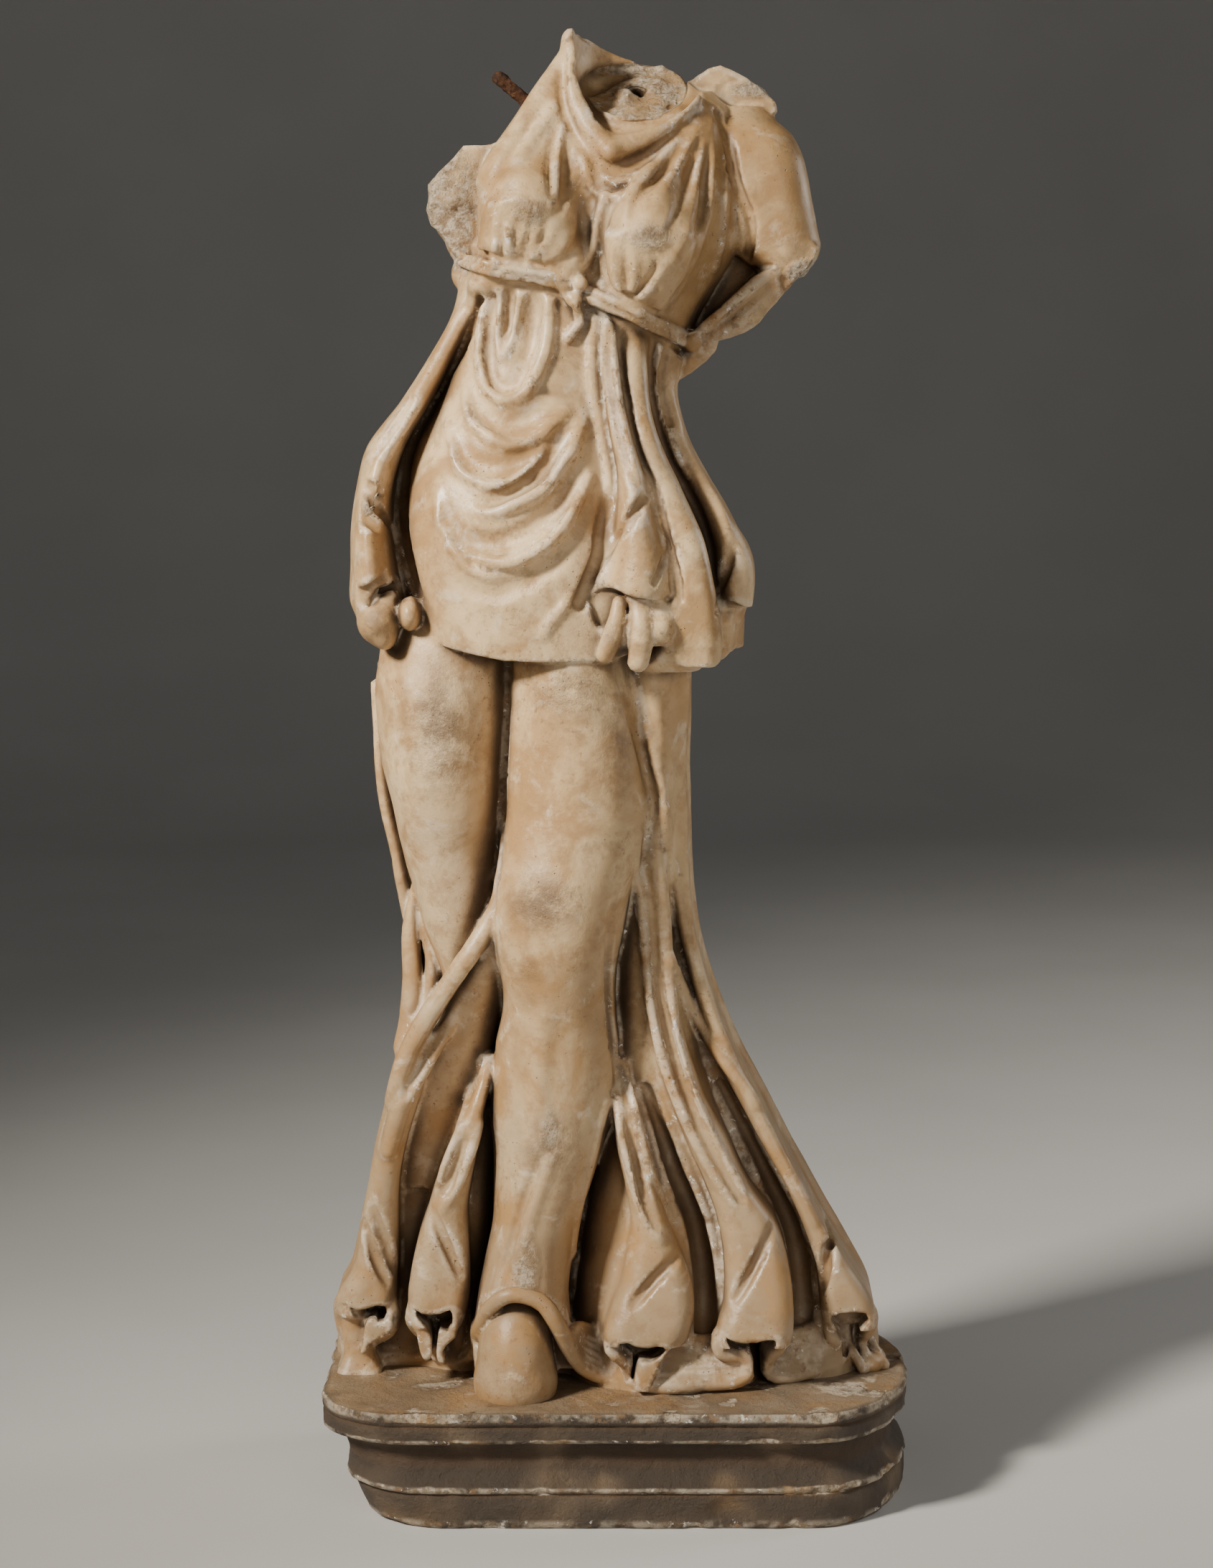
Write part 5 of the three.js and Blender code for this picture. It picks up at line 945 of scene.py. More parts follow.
def carve_figure():
    """Upper body and overfold, cut off at their hem, over the legs and the skirt."""
    upper = Stone()
    carve_bust(upper)
    carve_overfold(upper)
    carve_bust_folds(upper)
    carve_belt(upper)
    below_hem = [[-215, 586], *OVERFOLD_HEM, [215, 590], [215, 500], [-215, 500]]
    upper.hollow(Slab(below_hem, -140, 140))
    carve_overfold_ends(upper)
    carve_neck(upper)
    figure = Stone()
    carve_legs(figure)
    carve_skirt_back(figure)
    carve_folds(figure)
    carve_hem(figure)
    figure.values = soft_min(figure.values, upper.values, 2)
    return figure


NECK = {"front_y": -32, "front_z": 948, "back_y": 34, "back_z": 985,
        "x": 12, "half_width": 34, "half_depth": 37}
NECK_SLOPE = (NECK["back_z"] - NECK["front_z"]) / (NECK["back_y"] - NECK["front_y"])
NECK_HOLE = {"x": 12, "y": 1, "radius": 7, "depth": 45}


def neck_bed(y):
    """The height of the broken bed at a depth."""
    return NECK["front_z"] + NECK_SLOPE * (y - NECK["front_y"])


class AboveNeck:
    """The part of a shape that lies above the sloping, broken bed of the neck."""

    def __init__(self, shape):
        self.shape = shape
        self.low, self.high = shape.low, shape.high

    def distance(self, x, y, z, margin):
        bed = neck_bed(y) + 1.6 * noise_at(x, y, 950, 9, 5) + 0 * z
        return np.maximum(self.shape.distance(x, y, z, margin), (bed - z) / math.hypot(1, NECK_SLOPE))


def carve_neck(stone):
    stone.hollow(Slab(ABOVE_COLLAR, -90, 90), 2)
    stone.hollow(AboveNeck(Slab(NECKLINE, -90, -14)))
    stone.hollow(AboveNeck(Column(COLLAR_ROUND)), 1)
    # The crevice in front of the neck, and the dark pocket behind it at the right
    stone.trench([[-27, -12, 966], [-21, -26, 953], [-11, -38, 944], [2, -42, 941.5], [18, -42, 944],
                  [33, -38, 951], [45, -29, 960], [52, -14, 970]], [4, 6, 7, 7.5, 7.5, 7, 6, 4], 1)
    stone.trench([[-22, -6, 964], [-17, 6, 969], [-8, 13, 975], [4, 16, 979], [14, 17, 981]],
                 [5, 8, 9, 8, 5], 3)
    x, y = NECK_HOLE["x"], NECK_HOLE["y"]
    z = neck_bed(y)
    slant = 0.7 * NECK_HOLE["depth"]
    stone.trench([[x, y - 12, z + 9], [x, y + slant, z - slant]], NECK_HOLE["radius"], 1)


# Noise from a fixed lattice of random numbers, which repeats far apart
CELLS = 32
LATTICE = np.random.default_rng(7).random((CELLS, CELLS, CELLS)).astype(np.float32) * 2 - 1


def noise_at(x, y, z, size, seed):
    """Smooth noise from -1 to 1 with bumps about size across."""
    place = [np.asarray(c, float) / size + 7.31 * (seed + n) for n, c in enumerate((x, y, z))]
    cell = [np.floor(p).astype(int) for p in place]
    part = [p - c for p, c in zip(place, cell)]
    part = [p * p * (3 - 2 * p) for p in part]
    total = 0
    for dx, wx in ((0, 1 - part[0]), (1, part[0])):
        for dy, wy in ((0, 1 - part[1]), (1, part[1])):
            for dz, wz in ((0, 1 - part[2]), (1, part[2])):
                i, j, k = [(c + d) % CELLS for c, d in zip(cell, (dx, dy, dz))]
                total = total + LATTICE[i, j, k] * wx * wy * wz
    return total


def rough(points, size, octaves, seed):
    """Noise in several sizes at points."""
    x, y, z = points.T
    return sum(noise_at(x, y, z, size / 2 ** n, seed + 3 * n) / 2 ** n for n in range(octaves))


# Meshes
def surface_of(stone):
    """The zero surface as points and four-sided faces: one point in each cell that it crosses."""
    values = np.pad(stone.values, 1, constant_values=FAR)
    inside = values < 0
    count = np.zeros([n - 1 for n in values.shape], np.uint8)
    offsets = [(dk, dj, di) for dk in (0, 1) for dj in (0, 1) for di in (0, 1)]
    nz, ny, nx = count.shape
    for dk, dj, di in offsets:
        count += inside[dk:dk + nz, dj:dj + ny, di:di + nx]
    active = (count > 0) & (count < 8)
    k, j, i = np.nonzero(active)
    index = np.full(count.shape, -1, np.int32)
    index[k, j, i] = np.arange(len(k))
    corner = {o: values[k + o[0], j + o[1], i + o[2]] for o in offsets}
    place, crossings = np.zeros((len(k), 3)), np.zeros(len(k))
    for a in offsets:
        for axis in range(3):
            if a[axis]:
                continue
            b = tuple(1 if n == axis else v for n, v in enumerate(a))
            crossed = (corner[a] < 0) != (corner[b] < 0)
            t = corner[a] / np.where(crossed, corner[a] - corner[b], 1)
            for n in range(3):
                place[:, n] += np.where(crossed, a[n] + (t if n == axis else 0), 0)
            crossings += crossed
    place = place / crossings[:, None] + np.stack([k, j, i], 1) - 1
    place = place[:, ::-1] * GRID + np.array(BLOCK_LOW)
    faces = []
    for axis in range(3):
        side, up = [(2, 1), (0, 2), (1, 0)][axis]
        low, high = [slice(1, -1)] * 3, [slice(1, -1)] * 3
        low[axis], high[axis] = slice(0, -1), slice(1, None)
        a, b = inside[tuple(low)], inside[tuple(high)]
        kk, jj, ii = np.nonzero(a != b)
        at = np.stack([kk, jj, ii], 1) + 1
        at[:, axis] -= 1
        out = a[kk, jj, ii]
        ring = []
        for ds, du in ((-1, -1), (0, -1), (0, 0), (-1, 0)):
            cell = at.copy()
            cell[:, side] += ds
            cell[:, up] += du
            ring.append(index[cell[:, 0], cell[:, 1], cell[:, 2]])
        ring = np.stack(ring, 1)
        faces.append(np.where(out[:, None], ring, ring[:, ::-1]))
    return place, np.concatenate(faces)


def drop_crumbs(points, faces, least=400):
    """Leaves out the loose shells with fewer points than least."""
    label = np.arange(len(points))
    while True:
        lowest = label[faces].min(1)
        joined = label.copy()
        for corner in range(4):
            np.minimum.at(joined, faces[:, corner], lowest)
        joined = joined[joined]
        if (joined == label).all():
            break
        label = joined
    size = np.bincount(label, minlength=len(points))
    faces = faces[size[label[faces[:, 0]]] >= least]
    used = np.unique(faces)
    place = np.zeros(len(points), int)
    place[used] = np.arange(len(used))
    return points[used], place[faces]


def relax(points, faces, turns):
    """Draws each point halfway to the middle of its neighbours, several times."""
    pairs = np.concatenate([faces[:, [n, (n + 1) % 4]] for n in range(4)])
    pairs = np.concatenate([pairs, pairs[:, ::-1]])
    count = np.bincount(pairs[:, 0], minlength=len(points))
    for _ in range(turns):
        sums = [np.bincount(pairs[:, 0], points[pairs[:, 1], c], len(points)) for c in range(3)]
        points = points + 0.5 * (np.stack(sums, 1) / np.maximum(count, 1)[:, None] - points)
    return points


def shade_smooth(mesh):
    mesh.polygons.foreach_set("use_smooth", np.full(len(mesh.polygons), True))


def mesh_object(name, points, faces):
    """A new object in metres from points in millimetres. faces is an array with 3 or 4 columns."""
    mesh = bpy.data.meshes.new(name)
    sides = faces.shape[1]
    mesh.vertices.add(len(points))
    mesh.vertices.foreach_set("co", (points * MM).astype(np.float32).ravel())
    mesh.loops.add(faces.size)
    mesh.loops.foreach_set("vertex_index", faces.astype(np.int32).ravel())
    mesh.polygons.add(len(faces))
    mesh.polygons.foreach_set("loop_start", np.arange(0, faces.size, sides, dtype=np.int32))
    mesh.update(calc_edges=True)
    mesh.validate()
    shade_smooth(mesh)
    made = bpy.data.objects.new(name, mesh)
    bpy.context.scene.collection.objects.link(made)
    return made


def thin_out(piece, most, plain):
    """Takes faces out until the piece has no more triangles than most, first where plain is near 1."""
    triangles = sum(len(p.vertices) - 2 for p in piece.data.polygons)
    if triangles <= most:
        return
    group = piece.vertex_groups.new(name="plain")
    levels = np.round(plain * PLAIN_LEVELS).astype(int)
    for level in range(PLAIN_LEVELS + 1):
        group.add(np.flatnonzero(levels == level).tolist(), max(level, 1) / PLAIN_LEVELS, "REPLACE")
    modifier = piece.modifiers.new("thin", "DECIMATE")
    modifier.ratio = most / triangles
    modifier.vertex_group = group.name
    modifier.vertex_group_factor = PLAIN_FACTOR
    shown = piece.evaluated_get(bpy.context.evaluated_depsgraph_get())
    mesh = bpy.data.meshes.new_from_object(shown)
    piece.modifiers.clear()
    piece.vertex_groups.clear()
    piece.data = mesh
    shade_smooth(mesh)


def tube_faces(rings, around):
    """Triangles that join rings of points in turn. Two centres, listed after the rings, close the ends."""
    n = np.arange(around)
    after = (n + 1) % around
    faces = []
    for start in range(0, (rings - 1) * around, around):
        a, b = start + n, start + after
        faces += [np.stack([a, b, b + around], 1), np.stack([a, b + around, a + around], 1)]
    last, centre = (rings - 1) * around, rings * around
    faces.append(np.stack([after, n, np.full(around, centre)], 1))
    faces.append(np.stack([last + n, last + after, np.full(around, centre + 1)], 1))
    return np.concatenate(faces)


def points_of(piece):
    points = np.empty(len(piece.data.vertices) * 3, np.float32)
    piece.data.vertices.foreach_get("co", points)
    return points.reshape(-1, 3) / MM


def paint(piece, name, values):
    """Stores one number a point, which a material reads by name."""
    layer = piece.data.attributes.new(name, "FLOAT", "POINT")
    layer.data.foreach_set("value", np.asarray(values, np.float32))


# The wear of the figure: the sizes of its waves, chips, facets and grains, and how deep each goes
WAVE_SIZE, WAVE_DEPTH = 26, 0.35
CHIP_SIZE, CHIP_DEPTH, CHIP_RARITY = 11, 2.4, 0.35
FACET_SIZE, FACET_DEPTH = 24, 2.2
GRAIN_SIZE, GRAIN_DEPTH = 9, 1.3
BREAK_DEPTH = 1.6
# The pocket behind the neck, darkened as painted shade: centre and radii
NECK_SHADE = ([-5, 8, 978], [21, 17, 15])
# Places where the stone has broken away and shows rough: centre and radii
BREAKS = [
    ([-112, 0, 892], [32, 60, 44]), ([-106, 0, 852], [10, 30, 16]), ([126, 0, 842], [20, 50, 14]),
    ([90, 30, 966], [30, 22, 12]), ([-168, -66, 690], [9, 14, 14]),
]
# Worn, crystalline patches, which are only partly rough
WORN_SHARE = 0.42
WORN = [
    ([-58, -82, 881], [20, 18, 12]), ([20, -86, 866], [26, 18, 15]), ([-64, -84, 172], [16, 20, 40]),
    ([-47, -84, 262], [14, 20, 34]), ([-70, -98, 98], [22, 14, 14]),
]
# Brown stains: centre, radii and strength
STAINS = [
    ([-58, -80, 884], [18, 30, 12], 0.9), ([20, -84, 868], [24, 30, 11], 0.9),
    ([-50, -86, 424], [34, 30, 26], 0.9), ([-60, -76, 380], [16, 30, 16], 0.6),
    ([-46, -76, 255], [26, 30, 30], 0.7), ([-120, -66, 540], [34, 40, 60], 0.8),
    ([-30, -82, 565], [46, 30, 26], 0.6), ([4, -84, 540], [22, 34, 60], 0.7),
    ([-142, -60, 690], [8, 30, 50], 0.3), ([-120, 0, 880], [8, 30, 8], 1.0),
    ([6, 4, 968], [34, 34, 22], 0.9), ([-160, -60, 612], [20, 30, 18], 0.8),
    ([0, -92, 606], [28, 24, 18], 0.6), ([-168, -66, 690], [10, 20, 16], 0.7),
]


def near(points, centre, radii):
    """1 at a place's centre, falling to 0 at its radii."""
    gap = np.linalg.norm((points - np.array(centre)) / np.array(radii), axis=1)
    return np.clip(1.4 * (1 - gap), 0, 1)


def neck_bed_at(points):
    """1 on the broken bed of the neck, 0 away from it."""
    x, y, z = points.T
    reach = np.hypot((x - NECK["x"]) / NECK["half_width"], y / NECK["half_depth"])
    inside = np.clip(6 * (1.05 - reach), 0, 1)
    return inside * np.clip(2 - np.abs(z - neck_bed(y)) / 2, 0, 1)


def broken_at(points):
    worn = [WORN_SHARE * near(points, centre, radii) for centre, radii in WORN]
    return np.max([neck_bed_at(points), *worn, *[near(points, c, r) for c, r in BREAKS]], axis=0)


def hollow_at(stone, points, out):
    """How closed in each point is, from 0 in the open to 1 deep between folds."""
    total = 0
    for reach, weight in ((4, 0.2), (9, 0.3), (18, 0.3), (34, 0.2)):
        total = total + weight * np.clip(1 - stone.at(points + out * reach) / reach, 0, 1)
    return total


def edge_at(stone, points, out):
    """How sharply the stone turns away at each point, from 0 on a flat to 1 on an edge."""
    total = 0
    for reach, weight in ((2.5, 0.4), (5, 0.6)):
        total = total + weight * np.clip(1 + stone.at(points - out * reach) / reach, 0, 1)
    return np.clip(2.2 * total, 0, 1)


def wear_figure(stone, points, out):
    """A slight unevenness everywhere, chips along the edges, and rough breaks."""
    edge, broken = edge_at(stone, points, out), broken_at(points)
    chips = np.clip(rough(points, CHIP_SIZE, 3, 2) - CHIP_RARITY, 0, 1) * edge
    uneven = WAVE_DEPTH * rough(points, WAVE_SIZE, 2, 9)
    facets = 1 - 2 * np.abs(rough(points, FACET_SIZE, 2, 14))
    grain = GRAIN_DEPTH * rough(points, GRAIN_SIZE, 3, 4)
    crumbled = broken * (grain + FACET_DEPTH * facets - BREAK_DEPTH)
    return points + out * (uneven - CHIP_DEPTH * chips + crumbled)[:, None]


def make_figure(marble):
    stone = carve_figure()
    points, faces = drop_crumbs(*surface_of(stone))
    points = relax(points, faces, 2)
    out = stone.outward(points, 2.5)
    points = points - out * np.clip(stone.at(points), -2, 2)[:, None]
    figure = mesh_object("figure", wear_figure(stone, points, out), faces)
    thin_out(figure, FIGURE_TRIANGLES, np.clip(0.5 + out[:, 1], 0, 1))
    points = points_of(figure)
    out = stone.outward(points, 2.5)
    # Painted shade in the pocket behind the neck and down the hole in its bed, added to the hollow number
    pocket_shade = near(points, *NECK_SHADE)
    hole = 3 * near(points, [NECK_HOLE["x"], NECK_HOLE["y"] + 12, NECK["front_z"] + 4], [10, 22, 15])
    paint(figure, "hollow", np.clip(np.max([hollow_at(stone, points, out), pocket_shade, hole], axis=0), 0, 1))
    paint(figure, "edge", edge_at(stone, points, out))
    paint(figure, "broken", broken_at(points))
    paint(figure, "stain_and_shade", np.max([s * near(points, c, r) for c, r, s in STAINS], axis=0))
    figure.data.materials.append(marble)
    return figure


# Plinth
PLINTH = {"width": 409, "depth": 250, "height": 82, "corner": 60, "right_end": 78, "girth": 1150}
# Height, how far the side is set in, and how much further it is set in at the left end
PLINTH_PROFILE = [
    (0, 6, 31), (3, 3, 28), (14, 2.2, 24), (22, 2.6, 20), (24, 4.2, 19), (26, 1.2, 17), (28.5, 1.8, 15),
    (32, 6, 12), (38, 11, 8), (46, 13.5, 5), (54, 13.5, 2), (57.5, 10, 1), (59, 4, 0), (61, 1.4, 0),
    (69.5, 1.2, 0), (71.5, 3.4, 0), (73.5, 0.8, 0), (79, 0.3, 0), (81, 1.4, 0), (82, 3.5, 0),
]
# A broken place at the foot of the plinth: centre, radii and depth
PLINTH_BREAK = ([75, -128, 10], [21, 9, 17], 12)
# The wear of the plinth: the sizes of its waves, crust and chips, and how deep each goes
PLINTH_WAVE_SIZE, PLINTH_WAVE_DEPTH = 62, 1.7
CRUST_SIZE, CRUST_DEPTH, CRUST_INSET = 16, 0.9, 0.7
PLINTH_CHIP_SIZE, PLINTH_CHIP_DEPTH = 21, 4.5
# Bands round the plinth, [height, half width, strength]: lips that chip, rims that are rubbed pale with a
# painted highlight, scored lines, and the hollow moulding, which take dirt and painted shade
LIPS = [(79, 5, 1), (61, 3, 0.8), (26, 3, 1), (2, 7, 0.9)]
RIMS = [(79, 4, 1), (60.5, 2.5, 1), (27, 2.5, 1), (2, 6, 0.7)]
SCORES = [(24, 1.5, 1), (71.5, 1.4, 1)]
SCOTIA = [(47, 10, 1)]


def bands(z, rows):
    """The strength of bands of [height, half width, strength] at the heights z."""
    return sum(strength * np.exp(-((z - height) / half) ** 2) for height, half, strength in rows)


def plinth_outline(inset, left_inset, count):
    """Evenly spaced points round the plinth at one height."""
    half_width, half_depth, corner = PLINTH["width"] / 2, PLINTH["depth"] / 2, PLINTH["corner"]
    left, right_end = -half_width + corner + left_inset, PLINTH["right_end"]
    corners = []
    for cx, cy, rx, ry, start, end in (
        (half_width - right_end, 0, right_end, half_depth, -90, 90),
        (left, half_depth - corner, corner, corner, 90, 180),
        (left, -half_depth + corner, corner, corner, 180, 270),
    ):
        turn = np.radians(np.linspace(start, end, 60))
        corners.append(np.stack([cx + (rx - inset) * np.cos(turn), cy + (ry - inset) * np.sin(turn)], 1))
    corners = np.concatenate(corners + [corners[0][:1]])
    length = np.concatenate([[0], np.cumsum(np.linalg.norm(np.diff(corners, axis=0), axis=1))])
    place = np.linspace(0, length[-1], count, endpoint=False)
    return np.stack([np.interp(place, length, corners[:, c]) for c in (0, 1)], 1)


def plinth_rings():
    """Rings up the side of the plinth and then inwards over its top."""
    step = 1.5
    around = int(PLINTH["girth"] / (1.6 * step))
    profile = np.array(PLINTH_PROFILE)
    rings = []
    for z in np.arange(0, PLINTH["height"] + 0.1, step * 0.8):
        inset, left_inset = [np.interp(z, profile[:, 0], profile[:, c]) for c in (1, 2)]
        rings.append(np.column_stack([plinth_outline(inset, left_inset, around), np.full(around, z)]))
    top = rings[-1][:, :2]
    for shrink in np.linspace(0.985, 0.02, 50):
        rings.append(np.column_stack([top * shrink, np.full(around, PLINTH["height"])]))
    return rings


def wear_plinth(points):
    """Wavy mouldings, a lumpy crust, chips out of the edges and a broken place at the foot."""
    x, y, z = points.T
    side = z < PLINTH["height"] - 0.05
    away = points[:, :2] / np.array([PLINTH["width"] / 2, PLINTH["depth"] / 2])
    away = np.column_stack([away / np.linalg.norm(away, axis=1, keepdims=True), np.zeros(len(points))])
    waves = noise_at(x, y, 0 * z, PLINTH_WAVE_SIZE, 3)
    wavy = PLINTH_WAVE_DEPTH * waves * np.sin(np.pi * z / PLINTH["height"])
    crust = rough(points, CRUST_SIZE, 4, 3)
    chips = np.clip(rough(points, PLINTH_CHIP_SIZE, 3, 11) - 0.22, 0, 1) * bands(z, LIPS)
    push = side * (CRUST_DEPTH * crust - CRUST_INSET - PLINTH_CHIP_DEPTH * chips)
    sunk = np.where(side, wavy, 0.5 * rough(points, 34, 3, 6) - 2 * chips * (z > 78))
    points = points + away * push[:, None]
    points[:, 2] += sunk * (z > 2)
    centre, radii, depth = PLINTH_BREAK
    gap = np.linalg.norm((points - np.array(centre)) / np.array(radii), axis=1)
    points[:, 1] += np.clip(1.1 - gap, 0, 1) * depth * (z < 30)
    return points


def make_plinth(marble):
    rings = plinth_rings()
    points = wear_plinth(np.concatenate(rings))
    points = np.concatenate([points, [[0, 0, 0], [0, 0, PLINTH["height"]]]])
    plinth = mesh_object("plinth", points, tube_faces(len(rings), len(rings[0])))
    points = points_of(plinth)
    z = points[:, 2]
    scotia, rims = bands(z, SCOTIA), bands(z, RIMS)
    chips = np.clip(rough(points, PLINTH_CHIP_SIZE, 3, 11) - 0.2, 0, 1)
    worn = chips * rims * (z < PLINTH["height"] - 1)
    # Dirt in the hollow moulding and the scored lines, with painted shade deep in the scores
    paint(plinth, "hollow", np.clip(0.5 * scotia + 0.7 * bands(z, SCORES), 0, 1))
    paint(plinth, "edge", np.clip(rims, 0, 1) * (z < PLINTH["height"] - 0.5))
    paint(plinth, "broken", np.clip(2.2 * worn, 0, 1))
    # The crust of the plinth's sides, heavier in the hollow moulding, which the material darkens as crust
    # and painted shade
    on_side = np.clip((PLINTH["height"] + 1 - z) / 3, 0, 1)
    crust_and_shade = np.clip(0.9 + 0.4 * rough(points, 30, 2, 8), 0, 1)
    paint(plinth, "stain_and_shade", on_side * crust_and_shade * (1 + 0.3 * scotia))
    plinth.data.materials.append(marble)
    return plinth


# Dowel
DOWEL = {"root": (-57, 25, 954), "tip": (-84, 23, 976), "radius": 5.7, "buried": 20}
DOWEL_AROUND, DOWEL_STATIONS = 40, 60


def make_dowel(rust):
    root, tip = np.array(DOWEL["root"], float), np.array(DOWEL["tip"], float)
    axis = (tip - root) / np.linalg.norm(tip - root)
    side = np.cross(axis, [0, 1, 0])
    side /= np.linalg.norm(side)
    other = np.cross(axis, side)
    length = np.linalg.norm(tip - root)
    turn = np.linspace(0, 2 * math.pi, DOWEL_AROUND, endpoint=False)
    # The section is nearly square, and it wastes towards the rounded tip
    square = 1 / np.maximum(np.abs(np.cos(turn)), np.abs(np.sin(turn))) ** 0.55
    spokes = np.cos(turn)[:, None] * side + np.sin(turn)[:, None] * other
    rings = []
    for d in np.linspace(-DOWEL["buried"], length + 1, DOWEL_STATIONS):
        waste = 1 - 0.12 * max(0, d / length)
        close = math.sqrt(max(0.05, 1 - max(0, (d - length + 3) / 4) ** 2))
        radius = DOWEL["radius"] * 0.9 * waste * close * square
        rings.append(root + axis * d + spokes * radius[:, None])
    points = np.concatenate(rings + [[root - axis * DOWEL["buried"], tip + axis]])
    middle = root + axis * ((points - root) @ axis)[:, None]
    out = points - middle
    out /= np.maximum(np.linalg.norm(out, axis=1, keepdims=True), TINY)
    points = points + out * (0.9 * rough(points, 5, 3, 1) - 0.3)[:, None]
    dowel = mesh_object("dowel", points, tube_faces(DOWEL_STATIONS, DOWEL_AROUND))
    dowel.data.materials.append(rust)
    return dowel


# Materials
class Nodes:
    """A short way to write a node material."""

    def __init__(self, name):
        self.material = bpy.data.materials.new(name)
        self.material.use_nodes = True
        self.tree = self.material.node_tree
        self.shader = next(n for n in self.tree.nodes if n.type == "BSDF_PRINCIPLED")
        coordinates = self.tree.nodes.new("ShaderNodeTexCoord")
        self.place = coordinates.outputs["Object"]
        split = self.tree.nodes.new("ShaderNodeSeparateXYZ")
        self.tree.links.new(self.place, split.inputs["Vector"])
        self.height = split.outputs["Z"]

    def feed(self, socket, value):
        if isinstance(value, bpy.types.NodeSocket):
            self.tree.links.new(value, socket)
        elif value is not None:
            socket.default_value = value

    def noise(self, scale, detail, roughness, stretch=None, distortion=0.0):
        node = self.tree.nodes.new("ShaderNodeTexNoise")
        place = self.place
        if stretch:
            mapping = self.tree.nodes.new("ShaderNodeMapping")
            mapping.inputs["Scale"].default_value = stretch
            self.feed(mapping.inputs["Vector"], place)
            place = mapping.outputs["Vector"]
        self.feed(node.inputs["Vector"], place)
        node.inputs["Scale"].default_value = scale
        node.inputs["Detail"].default_value = detail
        node.inputs["Roughness"].default_value = roughness
        node.inputs["Distortion"].default_value = distortion
        return node.outputs["Fac"]

    def patches(self, noise, low, high, strength=1.0, weakest=0.0, **shape):
        """Patches of noise (scale, detail, roughness), from weakest below low to strength above high."""
        return self.ramp(self.noise(*noise, **shape), low, high, weakest, strength)

    def cells(self, scale):
        node = self.tree.nodes.new("ShaderNodeTexVoronoi")
        self.feed(node.inputs["Vector"], self.place)
        node.inputs["Scale"].default_value = scale
        return node.outputs["Distance"]

    def attribute(self, name):
        node = self.tree.nodes.new("ShaderNodeAttribute")
        node.attribute_name = name
        return node.outputs["Fac"]

    def ramp(self, value, low, high, out_low=0.0, out_high=1.0):
        node = self.tree.nodes.new("ShaderNodeMapRange")
        node.interpolation_type = "SMOOTHSTEP"
        for socket, v in zip(node.inputs, (value, low, high, out_low, out_high)):
            self.feed(socket, v)
        return node.outputs["Result"]

    def math(self, operation, a, b=None):
        node = self.tree.nodes.new("ShaderNodeMath")
        node.operation = operation
        node.use_clamp = operation in ("ADD", "SUBTRACT")
        self.feed(node.inputs[0], a)
        self.feed(node.inputs[1], b)
        return node.outputs[0]

    def times(self, *values):
        total = values[0]
        for value in values[1:]:
            total = self.math("MULTIPLY", total, value)
        return total

    def blend(self, amount, under, over):
        node = self.tree.nodes.new("ShaderNodeMix")
        node.data_type = "RGBA"
        self.feed(node.inputs["Factor"], amount)
        self.feed(node.inputs["A"], under if isinstance(under, bpy.types.NodeSocket) else (*under, 1))
        self.feed(node.inputs["B"], over if isinstance(over, bpy.types.NodeSocket) else (*over, 1))
        return node.outputs["Result"]

    def coat(self, under, amount, share, over):
        """Lays a colour over another, with no more than a share of it hidden."""
        return self.blend(self.math("MULTIPLY", amount, share), under, over)

    def bump(self, height, strength, distance, below=None):
        node = self.tree.nodes.new("ShaderNodeBump")
        node.inputs["Strength"].default_value = strength
        node.inputs["Distance"].default_value = distance
        self.feed(node.inputs["Height"], height)
        self.feed(node.inputs["Normal"], below)
        return node.outputs["Normal"]


